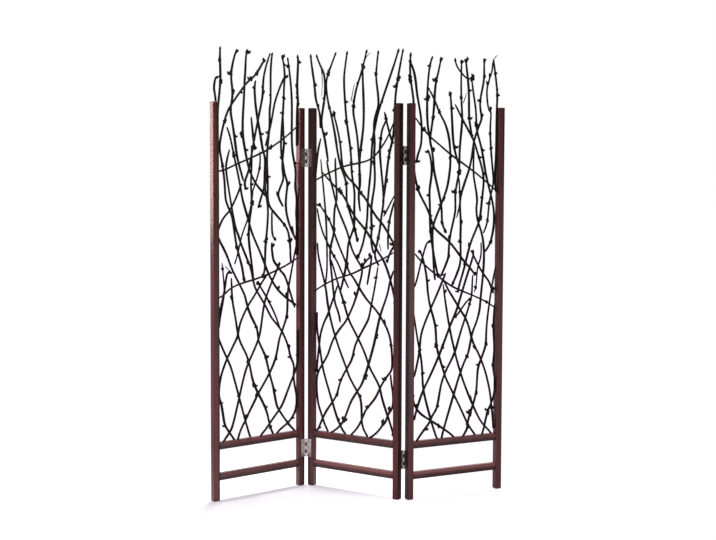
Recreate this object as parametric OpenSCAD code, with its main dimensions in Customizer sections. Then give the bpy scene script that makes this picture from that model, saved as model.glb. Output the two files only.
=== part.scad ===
// Branch folding screen: three hinged wooden panels filled with crooked twigs.
// Millimetres, +Z up. The origin is on the floor, midway across the screen as it stands.
// Each panel is drawn flat: x runs along it from its left edge, y back from its front face.

/* [Screen] */
// Angle between the left and centre panels, measured from flat
left_fold = 73; // [20:1:120]
// Angle between the centre and right panels, measured from flat
right_fold = 60; // [20:1:120]
// Angle by which the centre panel is turned towards the viewer
centre_turn = 34; // [0:1:60]
// Height of the tallest twig above the floor
twig_top = 1832; // [1750:1:2000]

/* [Panel frame] */
// Width of one panel over its two posts
panel_w = 453; // [380:1:600]
// Height of the posts
post_h = 1604; // [1500:1:1700]
// Width and depth of the square posts
post_s = 27; // [25:0.5:34]
// Chamfer along the four long edges of a post
post_edge = 1.2; // [0.5:0.1:2.5]
// Chamfer round the foot of a post
foot_edge = 3; // [1:0.5:5]
// Height of both rails
rail_h = 29; // [27:0.5:36]
// Depth of both rails
rail_t = 22; // [20:0.5:25]
// Chamfer along the four long edges of a rail
rail_edge = 1; // [0.5:0.1:2]
// Height of the top face of the upper rail
upper_rail_z = 238; // [215:1:300]
// Height of the top face of the lower rail
lower_rail_z = 112; // [90:1:120]

/* [Dowels] */
// Diameter of the dowels that join a rail to a post
dowel_d = 7; // [6:0.5:8]
// Depth of a dowel in the post, and the same in the rail
dowel_reach = 12; // [8:0.5:14]
// Distance between the two dowels of one joint, which lie side by side
dowel_gap = 10; // [9:0.5:11]
// Height of the dowels above the bottom of their rail
dowel_up = 9; // [8:0.5:10]
// Glue room round a dowel, on the radius
dowel_fit = 0.05; // [0.02:0.01:0.1]

/* [Twigs] */
// Diameter of the main twigs
twig_d = 7.8; // [5:0.1:8]
// Diameter of the thin binding twigs
binder_d = 6; // [4:0.1:6.2]
// Share of its diameter that a twig loses at its tip
twig_taper = 0.22; // [0:0.02:0.4]
// Swelling of a twig at a knot, as a share of its diameter
knot_swell = 0.42; // [0:0.02:0.6]
// Swelling of a butt where it stands on the rail
butt_swell = 0.12; // [0:0.02:0.2]
// Diameter of the whittled peg under a butt
peg_d = 5; // [4:0.1:5.5]
// Depth of the peg in the rail
peg_h = 10; // [6:0.5:11]
// Room round a peg in its hole, on the radius
peg_fit = 0.1; // [0.05:0.01:0.2]
// Room between a twig and what it lies against
twig_fit = 0.1; // [0.05:0.01:0.2]

/* [Hinges] */
// Height of a hinge
hinge_h = 76; // [60:1:80]
// Width of a leaf from the pin's axis
leaf_w = 25; // [20:0.5:29]
// Thickness of a leaf
leaf_t = 1.8; // [1:0.1:2.2]
// Outer diameter of the knuckles
knuckle_d = 7; // [6:0.1:8]
// Number of knuckles on a hinge, an odd number
knuckle_n = 5; // [3:2:7]
// Diameter of the pin
pin_d = 4; // [3:0.1:4.2]
// Running clearance of the pin, on the radius
pin_fit = 0.05; // [0.02:0.01:0.09]
// Clearance between two knuckles
knuckle_fit = 0.3; // [0.1:0.05:0.5]
// Distance along the panel from a post to the pin's axis
pin_out = 5.5; // [5:0.1:8]
// Distance from the post's face to the pin's axis
pin_proud = 3.2; // [2.4:0.1:4]
// Height of the middle of the lower hinges
low_hinge_z = 162; // [155:1:165]
// Distance from the tops of the posts down to the middle of the upper hinges
high_hinge_drop = 208; // [150:1:400]

/* [Hinge screws] */
// Screws in each leaf
screw_n = 3; // [2:1:3]
// Diameter of a screw's head
screw_head = 6.4; // [5:0.1:7]
// Diameter of a screw's shank
screw_d = 3.2; // [2.5:0.1:3.5]
// Length of a screw
screw_l = 15; // [10:0.5:18]
// Distance from the pin's axis to the row of screws
screw_in = 16; // [13:0.5:17]
// Distance from the end of a leaf to the first screw
screw_end = 10; // [8:0.5:16]
// Room round a screw in its hole, on the radius
screw_fit = 0.05; // [0.02:0.01:0.1]
// Width of a screw's slot
slot_w = 0.9; // [0.6:0.1:1.2]
// Depth of a screw's slot
slot_deep = 0.7; // [0.4:0.1:0.9]

/* [Hidden] */

stain = "#4a2526";
bark = "#241a19";
beech = "#c9a26b";
steel = "#8f8d88";

// The full-size drawing on which the twigs were set out: its opening, the top of the
// upper rail, the tops of the posts and the tallest tip
draw_left = 27;
draw_right = 425;
draw_foot = 240;
draw_post = 1604;
draw_top = 1832;

// From this height on the drawing a twig may lean out over the top of a post
draw_over = 1616;

// The twigs lie in four layers from front to back, and binding twigs lie in the first.
// A twig is [layer, diameter as a share of twig_d, its kinks]. A kink is [x, z] on the
// drawing, and a third value of 1 marks a knot. A layer can be a list of [height, layer].
left_rising = [
    [1, 1, [[48, 240], [84, 280, 1], [97, 305], [149, 503], [164, 540], [222, 642], [231, 680],
        [243, 760], [251, 797], [263, 828], [290, 884], [320, 938, 1], [323, 950]]],
    [1, 1, [[118, 240], [126, 265], [140, 294], [155, 312], [170, 342], [206, 397, 1], [212, 412],
        [266, 482], [311, 556, 1], [323, 640], [339, 665], [347, 690], [370, 736, 1],
        [366, 829, 1], [377, 866], [414, 1034]]],
    [1, 1, [[230, 240], [241, 253], [256, 264], [284, 298], [326, 340], [346, 365, 1], [384, 450],
        [411, 500], [418, 522], [425, 565], [425, 610], [420, 655, 1], [425, 672]]],
    [2, 1, [[318, 240], [334, 254], [378, 278], [398, 298], [414, 320, 1], [425, 350], [425, 390],
        [414, 420], [406, 455], [404, 485], [409, 508], [404, 530], [388, 557, 1], [381, 590],
        [370, 622], [343, 676], [302, 716], [285, 736], [262, 780], [216, 844], [204, 866],
        [192, 925], [184, 950], [170, 975, 1], [134, 1052], [128, 1076, 1], [118, 1092],
        [104, 1142], [70, 1320], [67, 1358, 1], [86, 1420]]],
];
left_leaning = [
    [[[788, 2], [820, 1]], 1, [[106, 240], [66, 295], [57, 312, 1], [46, 392, 1], [36, 412],
        [27, 440], [40, 500], [55, 540], [73, 577], [110, 640], [124, 660, 1], [129, 695],
        [141, 730], [175, 788], [192, 812], [210, 838], [246, 890], [270, 914]]],
    [3, 1, [[188, 240], [161, 322], [104, 515], [90, 552], [41, 643], [32, 680], [32, 720],
        [40, 758], [53, 795, 1], [69, 862], [75, 922, 1], [92, 927]]],
    [3, 1, [[302, 240], [284, 288], [278, 318], [262, 365, 1], [203, 456, 1], [192, 522],
        [178, 568], [164, 597], [130, 652], [122, 722], [106, 790], [101, 824, 1], [98, 903]]],
    [3, 1, [[414, 240], [390, 264, 1], [378, 278], [328, 343], [321, 362, 1], [308, 425, 1],
        [301, 452], [281, 508], [270, 566, 1], [240, 616], [229, 642], [228, 668], [222, 692],
        [214, 706, 1], [181, 762, 1], [167, 818], [158, 842], [101, 933], [84, 980],
        [68, 1012, 1], [36, 1064], [27, 1085], [52, 1130], [66, 1150], [82, 1163], [99, 1182],
        [137, 1253], [142, 1272, 1], [150, 1282]]],
];
left_crown = [
    [1, 0.7, [[27, 700], [35, 745], [55, 825], [57, 860], [45, 966]]],
    [1, 1, [[148, 890], [145, 935, 1], [116, 1020], [108, 1058], [98, 1132, 1], [90, 1160],
        [67, 1200], [60, 1225], [58, 1298], [45, 1370], [36, 1405], [33, 1440], [54, 1520],
        [68, 1560], [82, 1588], [157, 1682], [176, 1700], [213, 1726, 1], [241, 1776, 1],
        [256, 1788]]],
    [2, 1, [[419, 776], [367, 806], [325, 842, 1], [308, 862], [279, 906], [268, 930, 1],
        [234, 1006], [192, 1082], [179, 1130], [163, 1176, 1], [145, 1226], [137, 1282],
        [105, 1402], [90, 1470], [73, 1508]]],
    [3, 1, [[418, 764], [405, 795], [375, 882], [361, 908, 1], [346, 918], [320, 952, 1],
        [305, 964, 1], [297, 1025, 1], [299, 1042]]],
    [2, 1, [[392, 955], [388, 985], [388, 1018], [385, 1046, 1], [379, 1080], [368, 1108],
        [298, 1172, 1], [284, 1188], [275, 1208], [272, 1240], [274, 1315], [266, 1385],
        [278, 1492, 1], [284, 1525], [281, 1592, 1], [287, 1612], [288, 1640], [286, 1774, 1],
        [297, 1824]]],
    [1, 1, [[417, 1046], [396, 1076], [379, 1108], [355, 1180, 1], [362, 1250], [370, 1286, 1],
        [359, 1310], [350, 1338], [345, 1372], [337, 1400], [334, 1430], [334, 1465],
        [341, 1540, 1], [348, 1620], [350, 1700], [355, 1728, 1], [350, 1776], [341, 1812]]],
    [2, 1, [[352, 1190], [322, 1232, 1], [328, 1256], [350, 1296], [353, 1315], [346, 1345],
        [346, 1380], [357, 1452, 1], [352, 1480], [350, 1566]]],
    [2, 1, [[425, 985], [419, 1030], [425, 1080], [425, 1130], [418, 1165, 1], [425, 1200],
        [420, 1240], [411, 1276, 1], [416, 1310], [415, 1345], [409, 1376, 1], [390, 1450, 1],
        [401, 1650, 1], [372, 1815]]],
    [2, 1, [[425, 1440], [425, 1612], [430, 1628, 1], [420, 1686, 1], [430, 1797, 1],
        [424, 1824]]],
    [3, 1, [[232, 1188], [248, 1238], [258, 1256], [262, 1290], [262, 1335], [266, 1375],
        [262, 1405], [252, 1422, 1], [243, 1484, 1], [222, 1568, 1], [210, 1670, 1],
        [218, 1705]]],
    [1, 1, [[159, 1262], [150, 1285, 1], [168, 1322], [178, 1350], [200, 1465], [236, 1612],
        [245, 1650, 1], [243, 1722], [281, 1822]]],
    [2, 1, [[264, 1232], [238, 1260, 1], [222, 1273], [205, 1296], [176, 1345], [162, 1420, 1],
        [144, 1487, 1], [158, 1640], [158, 1690], [163, 1730, 1], [165, 1802], [172, 1818]]],
    [2, 1, [[154, 1292], [128, 1368], [119, 1408, 1], [109, 1478, 1], [102, 1520], [92, 1562, 1],
        [92, 1590], [98, 1612], [103, 1646, 1], [96, 1690], [93, 1730, 1], [114, 1808],
        [123, 1816]]],
    [0, 0.6, [[100, 956], [118, 1005], [131, 1062], [145, 1098], [168, 1145], [185, 1215],
        [190, 1252]]],
    [3, 0.8, [[299, 1171], [298, 1110], [300, 1076, 1], [308, 1060], [316, 1052]]],
    [3, 1, [[403, 1110], [407, 1080], [420, 1050]]],
    [2, 1, [[210, 1425, 1], [203, 1450], [200, 1480, 1], [190, 1556]]],
    [3, 1, [[39, 1214], [27, 1325], [27, 1612], [20, 1645], [18, 1672, 1], [28, 1706]]],
    [2, 0.9, [[27, 1500], [27, 1590], [47, 1684, 1], [41, 1778, 1], [43, 1826]]],
    [3, 0.9, [[208, 870], [203, 925], [190, 1000, 1], [180, 1078, 1], [189, 1145], [201, 1202, 1],
        [195, 1262], [194, 1300], [200, 1372], [196, 1440]]],
    [[[905, 2], [940, 1]], 1, [[247, 895], [255, 935], [253, 962], [256, 1042, 1], [262, 1075],
        [269, 1150], [268, 1195], [261, 1232], [252, 1262], [260, 1300], [263, 1372]]],
    [3, 0.9, [[266, 1436], [298, 1540], [309, 1605], [320, 1640], [346, 1700], [363, 1728, 1],
        [367, 1738]]],
    [2, 0.7, [[349, 1786], [371, 1771]]],
    [1, 0.6, [[230, 1417], [233, 1346, 1], [197, 1262], [190, 1240]]],
    [3, 0.8, [[225, 878], [242, 858], [282, 800, 1], [323, 725], [328, 707], [349, 660]]],
];
left_binding = [
    [0, 1, [[27, 826], [46, 833], [74, 858], [95, 867], [125, 877], [160, 885, 1], [240, 902],
        [352, 943], [375, 955, 1], [398, 968], [425, 978]]],
    [0, 1, [[27, 1330], [52, 1334], [105, 1359], [155, 1377], [245, 1415, 1], [268, 1426],
        [340, 1470], [388, 1505], [425, 1538]]],
];
centre_rising = [
    [1, 1, [[39, 240], [53, 253], [66, 286], [85, 321, 1], [112, 359], [147, 400], [157, 455],
        [187, 508], [222, 556, 1], [228, 595], [243, 640], [303, 728, 1], [306, 755], [332, 865],
        [345, 950]]],
    [1, 1, [[115, 240], [135, 252], [155, 268], [175, 290, 1], [187, 312], [213, 378],
        [224, 395, 1], [258, 443], [275, 463, 1], [336, 645, 1], [349, 732, 1], [382, 810],
        [396, 852], [401, 885, 1], [420, 935]]],
    [2, 1, [[212, 240], [252, 280], [278, 342], [292, 363], [332, 404, 1], [352, 448], [366, 472],
        [392, 508], [407, 522], [413, 548], [408, 620], [402, 655], [390, 688], [378, 708],
        [362, 733], [330, 773], [290, 805], [252, 852, 1], [222, 898], [205, 912], [192, 935],
        [178, 972], [147, 1028], [108, 1120], [95, 1143], [48, 1202]]],
    [1, 1, [[308, 240], [325, 250], [350, 270], [368, 296], [388, 315, 1], [390, 330], [402, 352],
        [418, 373], [425, 395], [425, 430], [410, 485], [408, 512]]],
];
centre_leaning = [
    [[[340, 3], [470, 1], [995, 1], [1030, 2.4], [1150, 3], [1210, 3], [1268, 1]], 1, [[90, 240],
        [76, 260], [64, 285], [52, 318], [40, 345], [36, 380], [37, 475], [63, 517], [84, 545],
        [103, 578], [112, 607], [127, 640], [150, 672, 1], [172, 697], [188, 712], [217, 765],
        [233, 800], [243, 828, 1], [251, 853], [268, 915], [270, 932], [262, 952], [214, 1008],
        [195, 1065], [180, 1100], [160, 1137, 1], [132, 1192], [126, 1225], [98, 1340, 1],
        [90, 1385]]],
    [3, 1, [[180, 240], [164, 251], [134, 300, 1], [88, 432], [60, 502], [47, 590], [27, 665],
        [27, 720], [33, 745]]],
    [3, 1, [[290, 240], [274, 258], [262, 282], [258, 310], [259, 388, 1], [240, 420], [195, 480],
        [187, 508], [150, 582], [98, 713], [80, 815, 1], [78, 848], [40, 970], [35, 1000],
        [33, 1040]]],
    [3, 1, [[420, 240], [402, 300], [358, 400, 1], [351, 440], [338, 470], [295, 528], [283, 565],
        [266, 602], [225, 672], [191, 718], [168, 795, 1], [140, 862], [127, 905], [103, 970]]],
];
centre_crown = [
    [[[735, 2], [762, 1]], 1, [[36, 490], [38, 535], [44, 570], [52, 645], [63, 680], [76, 712],
        [92, 735, 1], [106, 762], [140, 845], [145, 862]]],
    [2, 1, [[92, 1376], [75, 1480, 1], [65, 1502], [57, 1540], [60, 1575], [68, 1612, 1],
        [74, 1650], [76, 1690], [74, 1730], [66, 1757, 1], [48, 1785], [30, 1828]]],
    [1, 0.8, [[80, 850], [90, 895], [94, 950], [90, 1090], [86, 1150, 1], [80, 1210],
        [58, 1395]]],
    [[[900, 2], [980, 3]], 0.8, [[198, 853], [180, 883], [140, 958], [120, 980], [101, 1008, 1],
        [85, 1040], [68, 1065], [50, 1108], [38, 1148], [32, 1185]]],
    [[[1015, 2], [1062, 1]], 1, [[155, 708], [150, 742], [136, 770], [124, 800], [114, 890],
        [103, 965], [102, 1005], [112, 1038, 1], [125, 1068], [128, 1100], [128, 1150],
        [131, 1185], [140, 1215], [143, 1232], [139, 1265], [138, 1300], [134, 1345, 1],
        [133, 1395]]],
    [1, 1, [[160, 836], [188, 930, 1], [198, 1010], [198, 1040], [222, 1090], [231, 1115],
        [229, 1150, 1], [229, 1200], [232, 1250], [222, 1290], [215, 1335], [214, 1385],
        [209, 1430], [202, 1475, 1], [187, 1550], [175, 1700, 1], [176, 1735], [192, 1831]]],
    [[[1000, 3], [1035, 2], [1150, 2], [1190, 3]], 1, [[235, 975], [267, 1035], [276, 1075],
        [284, 1115], [289, 1150], [284, 1220], [296, 1310], [300, 1355], [304, 1455],
        [316, 1505, 1], [325, 1545], [337, 1585], [378, 1685, 1], [413, 1772], [431, 1823]]],
    [3, 1, [[420, 800], [400, 888], [370, 962, 1], [352, 988], [335, 1005], [288, 1086, 1],
        [235, 1133], [212, 1162], [158, 1250], [135, 1262], [55, 1338]]],
    [3, 1, [[425, 1040], [408, 1027], [395, 1008], [385, 985], [380, 965]]],
    [1, 0.9, [[393, 1015], [392, 1115], [413, 1185], [425, 1215]]],
    [2, 1, [[425, 1035], [410, 1050], [372, 1110], [350, 1133, 1], [325, 1155], [272, 1238],
        [255, 1243, 1], [245, 1262], [225, 1285], [200, 1303], [180, 1325, 1], [165, 1350],
        [158, 1400], [156, 1450], [127, 1560], [118, 1575], [103, 1573]]],
    [1, 1, [[325, 1000], [313, 1035], [312, 1070], [315, 1100], [312, 1150, 1], [312, 1207],
        [333, 1286], [325, 1375], [325, 1415, 1], [329, 1450], [323, 1500], [323, 1535],
        [333, 1570], [345, 1595], [345, 1630, 1], [334, 1695], [331, 1728], [343, 1823]]],
    [[[1062, 2], [1110, 3]], 1, [[345, 950], [330, 975], [322, 1000], [343, 1060], [349, 1135],
        [354, 1170], [362, 1205], [361, 1250], [343, 1390], [342, 1425, 1], [346, 1470],
        [353, 1508], [368, 1530], [375, 1548]]],
    [2, 1, [[412, 1445], [403, 1458], [395, 1480], [367, 1576]]],
    [1, 1, [[367, 1205], [374, 1240], [380, 1285, 1], [393, 1385], [402, 1425, 1], [425, 1485],
        [425, 1612], [432, 1690, 1], [460, 1822]]],
    [3, 1, [[248, 1170], [237, 1240], [247, 1275, 1], [248, 1310], [243, 1350], [235, 1480],
        [214, 1562], [210, 1595, 1], [224, 1675], [252, 1735], [279, 1832]]],
    [1, 1, [[255, 1250], [253, 1350], [256, 1400], [259, 1425, 1], [275, 1520], [274, 1615, 1],
        [268, 1705], [268, 1745], [262, 1775]]],
    [[[1240, 2], [1285, 3]], 1, [[241, 1045], [230, 1090, 1], [215, 1136], [188, 1200],
        [184, 1230], [182, 1280], [170, 1315], [155, 1350, 1], [142, 1385], [132, 1428],
        [124, 1478, 1], [115, 1520], [98, 1590], [88, 1615], [76, 1680], [76, 1715], [86, 1745],
        [127, 1833]]],
    [1, 1, [[27, 1312], [40, 1380], [47, 1435], [60, 1478]]],
    [1, 1, [[57, 1518], [58, 1560], [50, 1598], [38, 1625], [31, 1655, 1], [28, 1700],
        [19, 1745, 1], [11, 1790], [6, 1829]]],
    [2, 0.8, [[263, 943], [280, 968, 1], [312, 991]]],
    [1, 1, [[293, 869], [311, 956], [315, 991]]],
    [1, 0.8, [[370, 1150], [425, 1238]]],
];
centre_binding = [
    [0, 1, [[27, 832], [131, 892], [226, 912], [275, 939, 1], [334, 961], [400, 993],
        [425, 1008]]],
    [0, 1, [[27, 1297], [110, 1334], [185, 1360], [250, 1368, 1], [280, 1374], [305, 1380],
        [330, 1394], [350, 1413], [385, 1456], [400, 1482], [425, 1535]]],
];
right_rising = [
    [1, 1, [[45, 240], [63, 265], [84, 288, 1], [100, 305], [110, 320], [117, 340], [133, 356],
        [143, 380, 1], [155, 455], [165, 485], [180, 520], [203, 556], [228, 602, 1], [247, 672],
        [275, 740], [300, 810], [304, 840], [306, 912]]],
    [2, 1, [[167, 240], [176, 276], [225, 420, 1], [246, 485], [272, 548], [292, 580],
        [299, 612, 1], [311, 672], [325, 697], [337, 727], [349, 770, 1], [349, 805],
        [372, 985, 1], [357, 1083], [333, 1130], [327, 1165], [325, 1195], [333, 1222, 1],
        [314, 1300], [308, 1340], [312, 1440]]],
    [1, 1, [[265, 240], [288, 272, 1], [286, 290], [298, 335, 1], [332, 412], [332, 500],
        [338, 532, 1], [363, 585], [376, 620, 1], [374, 660], [380, 735], [404, 880],
        [420, 945]]],
    [1, 1, [[358, 240], [367, 262], [384, 336, 1], [396, 354], [408, 380], [418, 408], [425, 440],
        [423, 470], [413, 505], [410, 530, 1], [419, 603], [408, 688, 1], [416, 790]]],
];
right_leaning = [
    [3, 1, [[148, 240], [126, 298], [113, 340, 1], [79, 450], [80, 510], [71, 590], [60, 620],
        [33, 775]]],
    [[[296, 3], [308, 2], [335, 2], [368, 3]], 1, [[228, 240], [206, 259], [157, 291, 1],
        [130, 308], [88, 333], [65, 350, 1], [48, 374], [37, 397], [35, 425]]],
    [3, 1, [[332, 240], [300, 283], [289, 302], [250, 380], [192, 478], [180, 512], [153, 590, 1],
        [141, 628], [143, 708, 1], [110, 785], [99, 860], [98, 900, 1], [82, 968], [72, 998],
        [60, 1018]]],
    [3, 1, [[412, 240], [393, 262], [375, 276], [348, 312], [305, 400, 1], [290, 432], [255, 512],
        [203, 690, 1], [172, 880]]],
];
right_crown = [
    [[[600, 2], [640, 3], [690, 3], [735, 2]], 1, [[425, 258], [418, 290], [404, 405], [395, 445],
        [383, 487], [368, 530], [338, 592], [323, 615], [312, 650, 1], [305, 678], [292, 710],
        [275, 738, 1], [255, 762], [215, 823, 1], [192, 852], [178, 882], [165, 897]]],
    [1, 1, [[33, 325], [40, 360], [62, 420, 1], [78, 455], [95, 482], [150, 585, 1], [199, 708],
        [232, 768, 1], [247, 822], [292, 945, 1], [312, 998], [307, 1012]]],
    [1, 1, [[27, 500], [57, 605], [58, 650], [66, 698], [133, 830], [157, 880, 1], [177, 923]]],
    [2, 1, [[155, 903], [197, 985, 1], [193, 1010], [201, 1085], [224, 1160], [226, 1200],
        [221, 1252], [240, 1320], [243, 1370], [242, 1430], [254, 1530, 1], [254, 1575],
        [246, 1650], [248, 1790]]],
    [3, 0.8, [[232, 737], [255, 760], [282, 797], [303, 812]]],
    [1, 0.8, [[27, 866], [45, 905], [56, 955], [80, 1030], [88, 1048], [102, 1053]]],
    [1, 1, [[127, 893], [120, 925], [117, 1000], [109, 1085, 1], [118, 1125], [128, 1150],
        [176, 1252], [186, 1295, 1], [197, 1370], [191, 1455], [184, 1485, 1], [174, 1518],
        [158, 1548], [143, 1567], [120, 1622], [95, 1660]]],
    [2, 1, [[147, 903], [133, 950], [103, 1098, 1], [106, 1200], [98, 1253], [114, 1325, 1],
        [110, 1365], [102, 1405], [92, 1417]]],
    [2, 1, [[180, 1088], [160, 1123], [161, 1165], [157, 1210], [130, 1305, 1], [120, 1345],
        [118, 1400], [90, 1510], [88, 1570, 1], [87, 1640], [95, 1755], [112, 1798]]],
    [3, 1, [[327, 911], [300, 944], [272, 966, 1], [213, 1043], [160, 1080, 1], [130, 1104],
        [120, 1125], [100, 1182], [62, 1238], [50, 1268, 1], [40, 1305], [35, 1340]]],
    [[[1040, 2], [1100, 3], [1452, 3], [1484, 2]], 1, [[212, 872], [222, 890], [236, 920, 1],
        [249, 950], [253, 985], [251, 1055], [255, 1095, 1], [257, 1133], [249, 1210],
        [257, 1245], [270, 1285, 1], [298, 1352], [310, 1415], [313, 1450], [318, 1485],
        [338, 1533], [351, 1558, 1], [342, 1588], [338, 1620], [345, 1660], [359, 1715, 1],
        [357, 1760], [358, 1800]]],
    [1, 1, [[235, 842], [241, 872], [265, 938], [282, 1005, 1], [292, 1035], [302, 1062],
        [335, 1127], [342, 1160, 1], [351, 1255], [362, 1320], [318, 1430], [308, 1465],
        [272, 1515, 1], [213, 1612]]],
    [3, 1, [[372, 1003], [390, 1022], [405, 1050], [417, 1100, 1], [420, 1150], [415, 1205],
        [380, 1310], [368, 1365, 1], [357, 1430], [335, 1490], [326, 1525], [327, 1585],
        [313, 1650], [302, 1720]]],
    [3, 1, [[425, 830], [406, 858], [398, 882], [370, 910], [345, 945], [308, 1010]]],
    [1, 0.8, [[357, 1083], [380, 1130], [381, 1213], [402, 1272], [406, 1310], [392, 1400, 1],
        [383, 1530], [393, 1588], [378, 1590], [370, 1625], [366, 1680], [377, 1708], [384, 1735],
        [395, 1757], [395, 1790]]],
    [2, 1, [[425, 1255], [416, 1305], [417, 1350, 1], [425, 1400], [425, 1612], [426, 1650],
        [416, 1727], [402, 1806]]],
    [3, 1, [[27, 1500], [27, 1612], [27, 1635], [13, 1715], [12, 1755], [15, 1807]]],
    [1, 1, [[37, 1372], [40, 1400], [60, 1438], [59, 1515], [55, 1560], [36, 1640], [31, 1690, 1],
        [23, 1733, 1], [2, 1775]]],
    [3, 1, [[127, 1417], [112, 1432], [104, 1462], [122, 1547], [128, 1650, 1], [131, 1692],
        [145, 1740], [156, 1793]]],
    [3, 1, [[243, 1368], [218, 1437], [213, 1500, 1], [207, 1605], [200, 1655]]],
    [2, 1, [[304, 1474], [287, 1545], [286, 1600, 1], [286, 1655], [280, 1715, 1], [268, 1793]]],
    [1, 0.7, [[302, 1718], [283, 1715], [268, 1717], [250, 1732], [220, 1762], [213, 1796]]],
    [2.4, 0.6, [[352, 1046], [354, 996], [345, 963, 1], [333, 938], [331, 863], [320, 838]]],
    [1, 0.6, [[237, 1310], [241, 1269], [240, 1236], [245, 1207, 1], [227, 1146]]],
];
right_binding = [
    [0, 1, [[27, 1003], [50, 978], [95, 937], [175, 883], [205, 865, 1], [240, 850], [335, 815],
        [385, 790], [425, 764]]],
    [0, 1, [[27, 1546], [55, 1510], [100, 1467], [125, 1452], [185, 1408], [215, 1390, 1],
        [297, 1342], [378, 1288], [425, 1249]]],
];

// The two hinge lines as the centre panel sees them, then as the panels they carry do
pin_left = [-pin_out, -pin_proud];
pin_right = [panel_w + pin_out, post_s + pin_proud];
pin_of_left = [panel_w + pin_out, -pin_proud];
pin_of_right = [-pin_out, post_s + pin_proud];

// The middle of the screen's footprint in the centre panel's own directions
corners = [
    for (x = [0, 1], y = [0, 1], e = [0, 1]) [
        x * panel_w + e * (1 - 2 * x) * post_edge,
        y * post_s + (1 - e) * (1 - 2 * y) * post_edge
    ]
];
foot_points = [
    for (c = corners) each [
        turned(c, -centre_turn),
        turned(pin_left + turned(c - pin_of_left, left_fold), -centre_turn),
        turned(pin_right + turned(c - pin_of_right, right_fold), -centre_turn)
    ]
];
foot_x = [for (p = foot_points) p.x];
foot_y = [for (p = foot_points) p.y];
middle = [(min(foot_x) + max(foot_x)) / 2, (min(foot_y) + max(foot_y)) / 2];

// Rails
open_w = panel_w - 2 * post_s;
rail_front = (post_s - rail_t) / 2;
rail_back = rail_front + rail_t;
rail_tops = [lower_rail_z, upper_rail_z];
end_room = 0.5;

// Twigs: six-sided sweeps in flat layers, of which the binding twigs have the first
twig_sides = 6;
layer_n = 3;
layer_step = twig_d + twig_fit;
slab_front = (post_s - binder_d - layer_n * layer_step) / 2;
first_layer = slab_front + binder_d + twig_fit;
tip_share = 0.3;
peg_wall = 2;
collar_h = 12;

// Hinges
knuckle_r = knuckle_d / 2;
knuckle_h = hinge_h / knuckle_n;
high_hinge_z = post_h - high_hinge_drop;
hinge_zs = [low_hinge_z, high_hinge_z];
pin_head_h = 1.2;
pin_head_in = 0.3;
pin_head_r = knuckle_r - pin_head_in;
screw_rim = 0.2;
screw_cone = (screw_head - screw_d) / 2;
screw_tip = 3;
round_fn = 32;
small_fn = 24;
eps = 0.01;

function lerp(a, b, t) = a + (b - a) * t;
function clamp(v, low, high) = max(low, min(high, v));
function unit(v) = v / norm(v);
function turned(p, a) = [p.x * cos(a) - p.y * sin(a), p.x * sin(a) + p.y * cos(a)];

// From the drawing to the panel: the rail, the posts' tops and the tallest tip stay matched
function twig_x(x) = post_s + (x - draw_left) * open_w / (draw_right - draw_left);
function twig_z(z) = z < draw_post
    ? lerp(upper_rail_z, post_h, (z - draw_foot) / (draw_post - draw_foot))
    : lerp(post_h, twig_top, (z - draw_post) / (draw_top - draw_post));

// Depth of a twig of diameter d in a whole layer: it touches the layer next to it
function seat_y(layer, d) =
    layer < 1 ? slab_front + binder_d - d / 2
    : layer < 2 ? first_layer + twig_d - d / 2
    : first_layer + (layer - 1) * layer_step + d / 2;
function layer_y(layer, d) =
    lerp(seat_y(floor(layer), d), seat_y(ceil(layer), d), layer - floor(layer));
function layer_at(layers, z) =
    is_num(layers) ? layers : lookup(z, layers);

function is_footed(twig) = twig[2][0].y == draw_foot;
function is_knot(kink) = len(kink) > 2;
function tip_part(i, n) = max(0, (i / (n - 1) - 1 + tip_share) / tip_share);
function twig_dia(twig, base, i) =
    twig[1] * base * (1 - twig_taper * tip_part(i, len(twig[2])));

// A stop is [x, y, z, half width, half depth] on a twig's middle line. A binding twig is
// tied to both posts, so its ends meet them. The others stay beside the posts.
function stop_at(twig, base, i, tied = false) =
    let (
        kink = twig[2][i],
        d = twig_dia(twig, base, i),
        half = d / 2 * (1 + (is_knot(kink) ? knot_swell : i == 0 ? butt_swell : 0)),
        free = kink.y > draw_over,
        room = tied ? twig_fit : half + twig_fit,
        low = free ? -post_s : post_s + room,
        high = free ? panel_w + post_s : panel_w - post_s - room
    )
    [clamp(twig_x(kink.x), low, high), layer_y(layer_at(twig[0], kink.y), d),
        twig_z(kink.y), half, d / 2];

// The butt on the rail, moved in depth as far as its peg needs
function butt_stop(twig, base) =
    let (s = stop_at(twig, base, 0), edge = peg_wall + peg_d / 2)
    [s.x, clamp(s.y, rail_front + edge, rail_back - edge), s.z, s[3], s[4]];
function collar_stop(twig, base) =
    let (
        a = stop_at(twig, base, 0),
        b = stop_at(twig, base, 1),
        t = min(1, collar_h / norm([b.x - a.x, b.z - a.z])) / 2
    )
    [lerp(a.x, b.x, t), a.y, lerp(a.z, b.z, t), b[4], b[4]];
function foot_stops(twig, base) =
    let (b = butt_stop(twig, base), r = peg_d / 2)
    [
        [b.x, b.y, b.z - peg_h, r, r],
        [b.x, b.y, b.z, r, r],
        b,
        collar_stop(twig, base)
    ];
function twig_stops(twig, base, tied) = [
    each is_footed(twig) ? foot_stops(twig, base) : [stop_at(twig, base, 0, tied)],
    for (i = [1 : len(twig[2]) - 1]) stop_at(twig, base, i, tied)
];

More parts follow.
